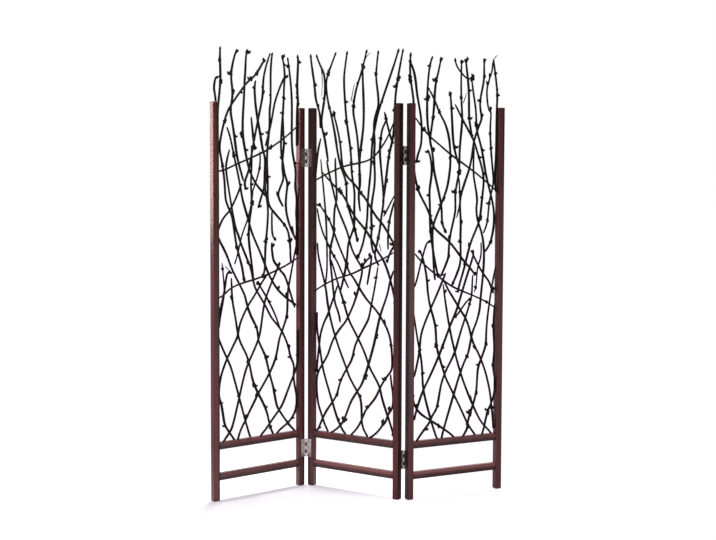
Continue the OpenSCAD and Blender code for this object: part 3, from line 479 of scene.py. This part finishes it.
for joint in ("left", "right"):
    pin = middle_of(f"{joint}_low_hinge_pin")
    # one leaf's barrel gets a painted highlight, its mate's gets painted shade
    highlit_metal = hinge_metal(f"{joint}_hinge_metal", plate_colours, pin, barrel_painted_highlight)
    shaded_metal = hinge_metal(f"{joint}_shaded_knuckle_metal", plate_colours, pin, barrel_painted_shade)
    heads = hinge_metal(f"{joint}_screw_metal", screw_colours)
    for name in nodes:
        if name.startswith(joint) and "hinge" in name:
            clothe(name, shaded_metal if name.endswith("_mate") else highlit_metal)
        elif name.startswith(joint) and "screws" in name:
            clothe(name, heads)
print("hinges done")

# %% [markdown]
# ### Bark
# Dry bark is almost black here, with a little warm brown where the outer skin has split along the
# twig and a grey bloom on the rest. Fine wrinkles run round it and cracks run along it.

# %% Make the bark
bark_deep = (0.0035, 0.0024, 0.0026)
bark_dark = (0.0080, 0.0050, 0.0052)
bark_warm = (0.0300, 0.0135, 0.0125)
bark_dust = (0.0520, 0.0340, 0.0330)
bark_shine = 0.3
skin_noise = (150, 5, 0.6)
skin_step = (0.42, 0.70)
bloom_noise = (28, 3)
bloom_step = (0.56, 0.80, 0, 0.45)
crack_squeeze = (1, 1, 0.22)
crack_scale = 420
crack_width = 0.09
bark_relief = (0.6, 0.5 * MM)

bark, tree, shader = new_material("twig_bark", 0.7)
shader.inputs["Specular IOR Level"].default_value = bark_shine
where = object_coordinates(tree)
skin = noise(tree, where, *skin_noise)
bloom = noise(tree, where, *bloom_noise)
cracks = put(tree, "ShaderNodeTexVoronoi",
             {"Vector": stretched(tree, where, crack_squeeze), "Scale": crack_scale},
             feature="DISTANCE_TO_EDGE")
whole = step(tree, cracks.outputs["Distance"], 0, crack_width)
brown = blend_colours(tree, step(tree, skin, *skin_step), bark_dark, bark_warm)
dusty = blend_colours(tree, step(tree, bloom, *bloom_step), brown, bark_dust)
feed(tree, shader.inputs["Base Color"], blend_colours(tree, whole, bark_deep, dusty))
raise_bumps(tree, shader, calc(tree, "ADD", skin, whole), *bark_relief)
print("bark", len(tree.nodes), "nodes")

# %% [markdown]
# Where a side shoot was cut off, the pale wood shows, gone brown in the air. A few rings of growth
# and some grime keep the small round faces from looking like paint.

# %% Make the cut wood
cut_brown = (0.022, 0.011, 0.009)
cut_pale = (0.075, 0.038, 0.026)
ring_noise = (600, 3)
ring_step = (0.35, 0.65)
ring_relief = (0.4, 0.3 * MM)

cut_wood, tree, shader = new_material("cut_wood", 0.75)
rings = noise(tree, object_coordinates(tree), *ring_noise)
aged = step(tree, rings, *ring_step)
feed(tree, shader.inputs["Base Color"], blend_colours(tree, aged, cut_brown, cut_pale))
raise_bumps(tree, shader, rings, *ring_relief)
print("cut wood", len(tree.nodes), "nodes")

# %% [markdown]
# ## Round the twigs
# The solid twigs are six-sided sweeps with straight stretches. Real ones are round, bend softly
# and are never quite even. So a copy of each group of twigs is smoothed by subdivision, swollen
# back to its thickness, because smoothing shrinks a tube, and then roughened with noise.

# %% Smooth and roughen a copy of each group
smooth_steps = 2
shrink_back = 1.4 * MM
bark_lumps = 1.0 * MM
weld = 0.01 * MM
quad_bend = math.radians(40)

lumps = bpy.data.textures.new("bark lumps", "CLOUDS")
lumps.noise_scale = 0.016
lumps.noise_depth = 3


def deselect():
    if bpy.context.mode != "OBJECT":
        bpy.ops.object.mode_set(mode="OBJECT")
    bpy.ops.object.select_all(action="DESELECT")


def choose(obj):
    deselect()
    obj.select_set(True)
    bpy.context.view_layer.objects.active = obj


def twin_of(obj, name):
    """A new object with its own copy of another one's mesh."""
    twin = bpy.data.objects.new(name, obj.data.copy())
    bpy.context.collection.objects.link(twin)
    return twin


def clean_copy(node, name):
    """A free copy of a CAD node with its loose triangles merged into clean faces."""
    twin = twin_of(nodes[node], name)
    twin.data.materials.clear()
    choose(twin)
    bpy.ops.object.mode_set(mode="EDIT")
    bpy.ops.mesh.select_all(action="SELECT")
    bpy.ops.mesh.remove_doubles(threshold=weld)
    bpy.ops.mesh.tris_convert_to_quads(face_threshold=quad_bend, shape_threshold=quad_bend)
    bpy.ops.mesh.normals_make_consistent(inside=False)
    bpy.ops.object.mode_set(mode="OBJECT")
    return twin


def finish_with(obj, kind, **settings):
    """Add a modifier, set it up by name and apply it."""
    modifier = obj.modifiers.new(kind.lower(), kind)
    for name, value in settings.items():
        setattr(modifier, name, value)
    choose(obj)
    bpy.ops.object.modifier_apply(modifier=modifier.name)


def round_twigs(side, kind):
    node = f"{side}_{kind}_twigs"
    twigs = clean_copy(node, f"{side}_{kind}_bark")
    finish_with(twigs, "SUBSURF", levels=smooth_steps, render_levels=smooth_steps)
    finish_with(twigs, "DISPLACE", strength=shrink_back, mid_level=0)
    finish_with(twigs, "DISPLACE", texture=lumps, strength=bark_lumps, mid_level=0.5,
                texture_coords="LOCAL")
    twigs.data.materials.append(bark)
    choose(twigs)
    bpy.ops.object.shade_smooth()
    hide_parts(node)
    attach(twigs, f"{side}_panel")
    return twigs


twig_kinds = ("rising", "leaning", "crown", "binding")
rounded_twigs = {
    side: [round_twigs(side, kind) for kind in twig_kinds] for side in panel_posts
}
print("faces of bark", sum(len(t.data.polygons) for ts in rounded_twigs.values() for t in ts))

# %% [markdown]
# ## Stumps and buds
# Wherever a twig turns there is a knuckle, and from it grows a bud or the stump of a shoot that
# was cut off. They give the screen its thorny outline. One stump and one bud are modelled, each
# from a squashed ball: the faces on one side are pulled out, narrowed and pulled out again. The
# cut end of the stump is inset, so that a rim of bark stands round the pale wood.

# %% Model a stump and a bud
ball_radius = 4.9 * MM
ball_shape = (1.06, 0.94, 1.55)
stump_steps = (((2.7, 0, 0.9), 1.12), ((3.3, 0, 1.4), 1.08))
bud_steps = (((2.2, 0, 1.2), 0.72), ((2.2, 0, 1.6), 0.40))
bark_rim = 0.9 * MM
cut_depth = 0.5 * MM
outward_least = 0.8
end_squash = 0.3


def pick_faces(obj, wanted):
    """Select the faces whose normal passes a test, in edit mode."""
    bpy.ops.mesh.select_mode(type="FACE")
    bpy.ops.mesh.select_all(action="DESELECT")
    bpy.ops.object.mode_set(mode="OBJECT")
    for polygon in obj.data.polygons:
        polygon.select = wanted(polygon.normal)
    picked = sum(polygon.select for polygon in obj.data.polygons)
    bpy.ops.object.mode_set(mode="EDIT")
    return picked


def knuckle_with(name, steps):
    """A squashed ball with its +X side pulled out, step by step."""
    deselect()
    bpy.ops.mesh.primitive_uv_sphere_add(segments=8, ring_count=6, radius=ball_radius)
    piece = bpy.context.object
    piece.name = name
    piece.data.materials.append(bark)
    piece.data.materials.append(cut_wood)
    bpy.ops.object.mode_set(mode="EDIT")
    picked = pick_faces(piece, lambda normal: normal.x > outward_least)
    for move, wide in steps:
        shift = tuple(part * MM for part in move)
        bpy.ops.mesh.extrude_region_move(TRANSFORM_OT_translate={"value": shift})
        bpy.ops.transform.resize(value=(end_squash, wide, wide))
    print(name, "pulled out of", picked, "faces")
    return piece


def stretch_knuckle(piece, shape):
    """Stretch the whole piece from its middle, and leave edit mode."""
    bpy.ops.mesh.select_all(action="SELECT")
    bpy.ops.transform.resize(value=shape, center_override=(0, 0, 0))
    bpy.ops.object.mode_set(mode="OBJECT")
    bpy.ops.object.shade_smooth()
    return piece


stump = knuckle_with("stump_pattern", stump_steps)
bpy.ops.mesh.inset(thickness=bark_rim, depth=-cut_depth)
stump.active_material_index = 1
bpy.ops.object.material_slot_assign()
stretch_knuckle(stump, ball_shape)
bud = stretch_knuckle(knuckle_with("bud_pattern", bud_steps), ball_shape)
for piece in (stump, bud):
    print(piece.name, len(piece.data.polygons), "faces", round(piece.dimensions.x / MM, 1), "mm")

# %% [markdown]
# The places were read in enlarged crops of the photograph, and turned outside this script
# into millimetres along and up each panel. The third number is the size, from a bud to a thick
# stump, and its sign says to which side of the twig it grows. The depth isn't in the photograph,
# so each one looks for the twig nearest to its place and takes the depth from it.

# %% Where the stumps and buds go
spur_places = {
    "left": (
        (279, 265, -1), (383, 268, 2), (412, 286, 1), (55, 299, -2), (159, 326, -1),
        (267, 359, 2), (45, 394, 1), (211, 411, -1), (130, 420, -1), (310, 422, 1), (216, 449, 2),
        (197, 449, -2), (313, 549, 1), (177, 550, -1), (380, 556, -2), (272, 560, 3),
        (417, 561, -1), (385, 600, 2), (227, 693, -2), (375, 730, 2), (370, 730, 1),
        (406, 773, -1), (285, 802, 2), (87, 816, -2), (364, 825, -2), (328, 850, 2),
        (220, 879, 3), (151, 888, 1), (252, 901, -2), (85, 927, 2), (64, 940, -1), (326, 949, 2),
        (165, 957, -1), (308, 1026, 2), (105, 1028, -1), (375, 1042, -1), (395, 1048, 2),
        (257, 1048, -1), (318, 1051, 1), (270, 1058, 1), (173, 1080, -1), (354, 1115, -1),
        (235, 1184, 2), (205, 1196, 3), (321, 1240, -1), (161, 1257, 2), (200, 1284, 2),
        (380, 1287, 2), (283, 1320, 2), (238, 1346, 2), (58, 1357, -2), (419, 1376, 1),
        (334, 1388, -1), (99, 1392, -3), (171, 1413, 2), (283, 1421, 2), (213, 1425, 1),
        (367, 1453, 2), (118, 1471, 2), (250, 1481, 2), (140, 1484, -3), (274, 1495, -2),
        (71, 1527, 3), (343, 1589, -2), (446, 1612, 2), (362, 1637, 1), (107, 1643, 2),
        (257, 1651, 2), (412, 1651, 1), (205, 1674, -1), (52, 1682, 2), (421, 1696, -2),
        (179, 1710, -3), (221, 1724, 2), (88, 1727, -3), (369, 1727, 3), (382, 1771, 1),
        (39, 1772, -1), (248, 1785, -2), (447, 1802, 2), (129, 1814, 1), (179, 1817, 3),
        (349, 1818, 2),
    ),
    "centre": (
        (58, 250, 1), (417, 257, -1), (186, 299, 3), (138, 302, -1), (168, 307, -2),
        (371, 308, -3), (290, 366, -2), (397, 368, -3), (150, 401, 2), (261, 403, -1),
        (157, 465, -2), (285, 475, 3), (39, 488, -2), (373, 498, -3), (227, 569, 2),
        (403, 627, -2), (350, 663, 3), (379, 726, 1), (416, 791, -1), (161, 791, -1),
        (177, 804, 2), (133, 823, 1), (231, 834, -2), (334, 896, -2), (271, 947, -2),
        (206, 955, 3), (404, 963, -1), (280, 966, -2), (115, 976, 2), (243, 979, -2),
        (305, 985, -3), (105, 1022, -1), (408, 1042, -3), (240, 1053, 1), (353, 1064, 2),
        (233, 1086, 2), (140, 1093, 2), (292, 1099, 2), (314, 1104, 1), (321, 1116, 2),
        (393, 1131, -1), (107, 1152, 1), (371, 1173, -2), (188, 1191, 2), (50, 1212, -2),
        (155, 1243, -2), (264, 1251, 1), (157, 1260, -3), (390, 1290, 2), (190, 1293, 1),
        (262, 1318, 1), (217, 1333, 1), (315, 1362, -2), (214, 1375, 1), (413, 1383, -1),
        (389, 1415, -1), (266, 1418, 1), (214, 1434, 1), (164, 1458, 2), (366, 1464, -1),
        (305, 1464, -1), (84, 1494, 3), (180, 1530, -3), (379, 1546, -1), (126, 1577, 3),
        (407, 1583, -1), (233, 1605, 1), (92, 1606, -2), (204, 1607, 2), (47, 1612, -1),
        (362, 1617, 2), (195, 1623, 2), (55, 1645, 1), (409, 1675, -3), (439, 1689, 3),
        (39, 1696, 1), (328, 1724, -2), (88, 1746, 3), (272, 1753, 2),
    ),
    "right": (
        (294, 270, 2), (156, 275, -2), (89, 279, 2), (284, 292, -1), (395, 323, 3), (315, 326, 2),
        (295, 335, -3), (377, 335, -2), (417, 344, 1), (145, 378, 1), (46, 381, 1),
        (312, 390, -2), (339, 412, 2), (36, 419, -1), (78, 506, 1), (257, 511, -1),
        (410, 523, -2), (340, 532, -2), (180, 535, 2), (293, 570, 1), (61, 599, -1),
        (172, 610, 2), (322, 610, -1), (379, 618, 1), (134, 622, -3), (403, 699, -2),
        (142, 702, 2), (236, 729, -2), (303, 782, 1), (377, 790, -1), (303, 805, 2),
        (235, 832, -2), (189, 838, 2), (419, 848, 2), (334, 861, -1), (225, 874, -1),
        (98, 894, 2), (138, 905, 2), (331, 909, 1), (160, 917, 2), (260, 956, 2), (197, 982, 2),
        (65, 1006, -2), (310, 1007, -2), (291, 1036, -1), (416, 1037, 2), (247, 1047, -1),
        (99, 1048, 2), (194, 1068, -1), (177, 1082, 1), (99, 1087, -2), (155, 1117, -2),
        (258, 1129, 2), (383, 1131, 1), (348, 1144, 3), (113, 1162, 1), (138, 1206, -2),
        (382, 1214, -2), (169, 1221, 2), (340, 1229, 1), (96, 1247, -2), (235, 1248, 2),
        (219, 1254, -3), (40, 1258, 3), (366, 1324, 1), (247, 1326, 3), (41, 1365, 3),
        (186, 1388, -1), (326, 1406, 2), (94, 1416, -2), (120, 1417, 2), (231, 1434, 3),
        (359, 1438, 2), (404, 1441, -1), (308, 1483, -1), (389, 1498, -2), (75, 1506, -2),
        (312, 1523, -3), (273, 1550, 3), (121, 1554, 2), (351, 1567, 2), (140, 1567, -2),
        (208, 1598, 2), (390, 1598, 3), (81, 1622, -2), (96, 1625, 3), (338, 1628, -2),
        (239, 1642, -2), (199, 1658, -1), (429, 1661, 1), (284, 1666, 2), (0, 1694, -3),
        (118, 1704, -3), (369, 1704, -1), (-3, 1710, -3), (308, 1725, 2), (361, 1726, 2),
        (299, 1730, 3), (376, 1741, -1), (423, 1748, 1), (31, 1763, 1), (88, 1767, -2),
        (247, 1802, 1), (266, 1804, 3), (152, 1804, 1), (359, 1818, 1),
    ),
}
print("stumps and buds", sum(len(rows) for rows in spur_places.values()))

# %% [markdown]
# A stump has to follow its twig, so the lean of the twig is worked out from the bark's points
# around the place. Its own way out is tilted upwards, as a shoot grows, and a little towards the
# middle of the panel's thickness, so that the panels can still be closed flat on each other.

# %% Set the stumps and buds on their twigs
ring_reach = 9 * MM
farthest = 20 * MM
most_lean = math.radians(40)
spur_sizes = {1: (bud, 1.25), 2: (stump, 1.08), 3: (stump, 1.4)}
size_spread = (0.9, 1.12)
height_spread = (0.9, 1.15)
most_thick = 1.04
most_inward = 0.12
most_upward = 0.45
chance = random.Random(11)


def trees_of(side):
    """Two search trees of the bark's points, one flat and one in space, in the panel's frame."""
    inward = places[side].inverted()
    points = [inward @ v.co for twigs in rounded_twigs[side] for v in twigs.data.vertices]
    flat_tree, space_tree = KDTree(len(points)), KDTree(len(points))
    for number, point in enumerate(points):
        flat_tree.insert((point.x, 0, point.z), number)
        space_tree.insert(point, number)
    flat_tree.balance()
    space_tree.balance()
    return points, flat_tree, space_tree


def twig_near(found, x, z):
    """The middle and the lean of the twig nearest to a place, or None where there is no twig."""
    points, flat_tree, space_tree = found
    _, number, distance = flat_tree.find((x * MM, 0, z * MM))
    if distance > farthest:
        return None
    ring = [near[0] for near in space_tree.find_range(points[number], ring_reach)]
    middle = sum(ring, Vector()) / len(ring)
    spread_x = sum((p.x - middle.x) ** 2 for p in ring)
    spread_z = sum((p.z - middle.z) ** 2 for p in ring)
    shared = sum((p.x - middle.x) * (p.z - middle.z) for p in ring)
    lean = 0.5 * math.atan2(2 * shared, spread_z - spread_x)
    return middle, max(-most_lean, min(most_lean, lean))


def set_spur(side, x, z, kind, found):
    """A stump or bud on the twig nearest to its place, or None where there is no twig."""
    near = twig_near(found, x, z)
    if near is None:
        return None
    middle, lean = near
    pattern, size = spur_sizes[abs(kind)]
    size *= chance.uniform(*size_spread)
    side_way = math.copysign(1, kind)
    twin = twin_of(pattern, f"{side}_spur")
    inside = math.copysign(chance.uniform(0, most_inward), post_s / 2 - middle.y)
    height = size * chance.uniform(*height_spread)
    shape = Matrix.Diagonal((size, min(size, most_thick), height, 1))
    upward = Matrix.Rotation(-chance.uniform(0, most_upward), 4, "Y")
    half_turn = Matrix.Rotation(0 if side_way > 0 else math.pi, 4, "Z")
    yaw = Matrix.Rotation(inside * side_way, 4, "Z")
    follow = Matrix.Rotation(lean, 4, "Y")
    spot = Matrix.Translation(middle)
    twin.data.transform(places[side] @ spot @ follow @ yaw @ half_turn @ upward @ shape)
    return twin


def join_all(pieces, name):
    """Make one object of many."""
    deselect()
    for piece in pieces:
        piece.select_set(True)
    bpy.context.view_layer.objects.active = pieces[0]
    if len(pieces) > 1:
        bpy.ops.object.join()
    bpy.context.object.name = name
    return bpy.context.object


bark_points = {side: trees_of(side) for side in panel_posts}
for side, wanted_places in spur_places.items():
    copies = [set_spur(side, x, z, kind, bark_points[side]) for x, z, kind in wanted_places]
    missed = [place for place, copy in zip(wanted_places, copies) if copy is None]
    joined = join_all([copy for copy in copies if copy], f"{side}_spurs")
    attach(joined, f"{side}_panel")
    print(side, "set", len(wanted_places) - len(missed), "without a twig", missed)

bpy.data.objects.remove(stump)
bpy.data.objects.remove(bud)

# %% [markdown]
# ## End buds
# Every twig that rises above the posts ends in a swollen bud. Its place is found in the bark
# itself: a point with no higher point near it is the end of a twig, and the points a little lower
# show which way the twig leans there. The bud's far end stays just under the top of the twig.

# %% Model an end bud and set it on every tip
tips_above = 1.62
tip_alone = 18 * MM
tip_sink = 9 * MM
tip_thick = 0.95
tip_steps = (((1.9, 0, 0), 0.90), ((1.6, 0, 0), 0.80))
tip_shape = (1.05, 0.86, 0.86)
tip_sizes = (1.15, 1.45)
last_reach = 3 * MM
below_start = 5 * MM

end_bud = stretch_knuckle(knuckle_with("end_bud_pattern", tip_steps), tip_shape)


def ends_of(found):
    """The end of each twig above the posts, with the direction of its last stretch."""
    points, _, space_tree = found
    for point in points:
        if point.z < tips_above:
            continue
        around = [near[0] for near in space_tree.find_range(point, tip_alone)]
        if max(p.z for p in around) > point.z:
            continue
        last = [p for p in around if point.z - p.z < last_reach] or [point]
        below = [p for p in around if point.z - p.z > below_start]
        if below:
            end, root = (sum(group, Vector()) / len(group) for group in (last, below))
            yield end, (end - root).normalized()


def set_end_bud(side, end, way):
    twin = twin_of(end_bud, f"{side}_end_bud")
    size = chance.uniform(*tip_sizes)
    spot = Matrix.Translation(end - way * tip_sink)
    follow = Matrix.Rotation(-math.atan2(way.z, way.x), 4, "Y")
    shape = Matrix.Diagonal((size, tip_thick, size, 1))
    twin.data.transform(places[side] @ spot @ follow @ shape)
    return twin


for side in panel_posts:
    buds = [set_end_bud(side, end, way) for end, way in ends_of(bark_points[side])]
    joined = join_all(buds, f"{side}_end_buds")
    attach(joined, f"{side}_panel")
    print(side, "end buds", len(buds))
bpy.data.objects.remove(end_bud)

# %% [markdown]
# ## Side shoots
# A few thin shoots were left on. Each starts as a six-sided disc on its twig, which is pulled out
# from point to point and gets narrower each time, and is smoothed at the end.

# %% Grow the side shoots
shoot_radius = 3.0 * MM
shoot_taper = 0.8
side_shoots = {
    "left": (((59, 950), (70, 941), (83, 927)),),
    "centre": (
        ((199, 1621), (207, 1646), (211, 1674), (221, 1700)),
        ((272, 1768), (281, 1799), (310, 1817)),
        ((379, 1546), (374, 1562), (367, 1575)),
        ((54, 1774), (60, 1742), (62, 1711), (60, 1676), (55, 1645)),
        ((346, 1043), (352, 1022), (358, 1003)),
    ),
    "right": (((256, 1612), (267, 1635), (275, 1662)), ((407, 1804), (414, 1815), (424, 1822))),
}


def grow_shoot(side, route, found):
    """A thin shoot along a route, as deep in the panel as the twig that it grows from."""
    near = twig_near(found, *route[0])
    depth = near[0].y if near else post_s / 2
    points = [places[side] @ Vector((x * MM, depth, z * MM)) for x, z in route]
    way = (points[1] - points[0]).to_track_quat("Z", "Y").to_euler()
    deselect()
    bpy.ops.mesh.primitive_circle_add(
        vertices=6, radius=shoot_radius, fill_type="NGON", location=points[0], rotation=way)
    shoot = bpy.context.object
    bpy.ops.object.mode_set(mode="EDIT")
    bpy.ops.mesh.select_all(action="SELECT")
    for here, there in zip(points, points[1:]):
        bpy.ops.mesh.extrude_region_move(TRANSFORM_OT_translate={"value": there - here})
        bpy.ops.transform.resize(value=(shoot_taper,) * 3)
    bpy.ops.mesh.select_all(action="SELECT")
    bpy.ops.mesh.normals_make_consistent(inside=False)
    bpy.ops.object.mode_set(mode="OBJECT")
    bpy.ops.object.transform_apply(location=True, rotation=True, scale=True)
    finish_with(shoot, "SUBSURF", levels=1, render_levels=1)
    bpy.ops.object.shade_smooth()
    shoot.data.materials.append(bark)
    return shoot


for side, routes in side_shoots.items():
    shoots = [grow_shoot(side, route, bark_points[side]) for route in routes]
    joined = join_all(shoots, f"{side}_side_shoots")
    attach(joined, f"{side}_panel")
    print(side, "side shoots", len(routes))

# %% [markdown]
# ## The floor
# The photograph has a pure white ground with a thin lavender shadow under the left and the centre
# panel, and almost none under the right one. Real studios light the ground separately. Here the
# paper glows a little. The camera sees more of that glow than the wood does, so that it doesn't
# wash out the dark stain. One small lamp lights a pool of the floor from above, and the glow
# grows outside that pool.

# %% Lay the floor
floor_size = 60
near_glow = 0.45
far_glow = 0.85
bounce = 0.22
pool = (-0.36, 0, 0)
pool_reach = (0.18, 0.62)
paper_white = (0.82, 0.82, 0.82, 1)
paper_glow = (1.0, 0.93, 1.03, 1)

deselect()
bpy.ops.mesh.primitive_plane_add(size=floor_size, location=(0, 0, 0))
floor = bpy.context.object
floor.name = "floor"
paper, tree, shader = new_material("white_paper", 0.9)
shader.inputs["Base Color"].default_value = paper_white
shader.inputs["Specular IOR Level"].default_value = 0
shader.inputs["Emission Color"].default_value = paper_glow
away = put(tree, "ShaderNodeVectorMath", {0: object_coordinates(tree), 1: pool},
           operation="DISTANCE")
glow = step(tree, away.outputs["Value"], *pool_reach, near_glow, far_glow)
seen = put(tree, "ShaderNodeLightPath").outputs["Is Camera Ray"]
seen_glow = calc(tree, "MULTIPLY", glow, seen)
feed(tree, shader.inputs["Emission Strength"], calc(tree, "MAXIMUM", seen_glow, bounce))
floor.data.materials.append(paper)
print("floor", floor_size, "m")

# %% [markdown]
# ## The lights
# Six softboxes light the screen and leave the floor out. The seventh hangs above the left joint,
# nearly in the plane of the left and the centre panel, and lights only the floor. So the shadows of
# those two panels stay thin lines. The white room is bright for the camera and dim for the wood.

# %% Hang the lights
backdrop_white = (1, 1, 1, 1)
sky_colour = (1, 0.96, 1, 1)
sky_heights = (0.15, 0.95)
sky_strengths = (0.05, 0.42)

world = bpy.data.worlds.new("white_room")
bpy.context.scene.world = world
world.use_nodes = True
room = world.node_tree
bright = room.nodes["Background"]
bright.inputs["Color"].default_value = backdrop_white
bright.inputs["Strength"].default_value = 1.0
way = put(room, "ShaderNodeTexCoord").outputs["Generated"]
height = put(room, "ShaderNodeSeparateXYZ", {0: way}).outputs["Z"]
sky = step(room, height, *sky_heights, *sky_strengths)
dim = put(room, "ShaderNodeBackground", {"Color": sky_colour, "Strength": sky})
which = put(room, "ShaderNodeLightPath").outputs["Is Camera Ray"]
either = put(room, "ShaderNodeMixShader", {0: which, 1: dim.outputs[0], 2: bright.outputs[0]})
feed(room, room.nodes["World Output"].inputs["Surface"], either.outputs[0])


def softbox(name, place, target, size, power, colour=(1, 1, 1), floor_only=False):
    """A soft lamp that lights all but the floor, or only the floor."""
    light = bpy.data.lights.new(name, "AREA")
    light.shape = "RECTANGLE"
    light.size, light.size_y = size
    light.energy = power
    light.color = colour
    obj = bpy.data.objects.new(name, light)
    bpy.context.collection.objects.link(obj)
    obj.location = place
    obj.rotation_euler = (Vector(target) - Vector(place)).to_track_quat("-Z", "Y").to_euler()
    obj.visible_camera = False
    group = bpy.data.collections.new(name)
    group.objects.link(floor)
    obj.light_linking.receiver_collection = group
    state = "INCLUDE" if floor_only else "EXCLUDE"
    group.collection_objects[0].light_linking.link_state = state
    return light


softbox("left_softbox", (-1.62, 0.24, 1.5), (-0.58, -0.12, 1.4), (0.45, 0.8), 14, (1, 0.74, 0.64))
softbox("front_left_softbox", (-2.4, -2.6, 0.9), (0, 0, 0.5), (1.4, 1.4), 19)
softbox("right_softbox", (2.0, -1.8, 0.5), (0.35, 0, 0.4), (1.2, 1.2), 7.5)
softbox("overhead_softbox", (0, 0.2, 3.6), (0, 0.1, 0), (0.9, 0.9), 56)
softbox("back_softbox", (0, 3.6, 1.1), (0, 0, 0.9), (5.0, 1.8), 26)
softbox("back_high_softbox", (0, 2.6, 3.2), (0, 0, 0.9), (4.0, 1.8), 45)
floor_lamp = softbox("floor_softbox", (-0.40, 0.34, 3.0), pool, (0.42, 0.42), 3.3, floor_only=True)
floor_lamp.spread = math.radians(32)
bpy.context.scene.view_settings.view_transform = "Standard"
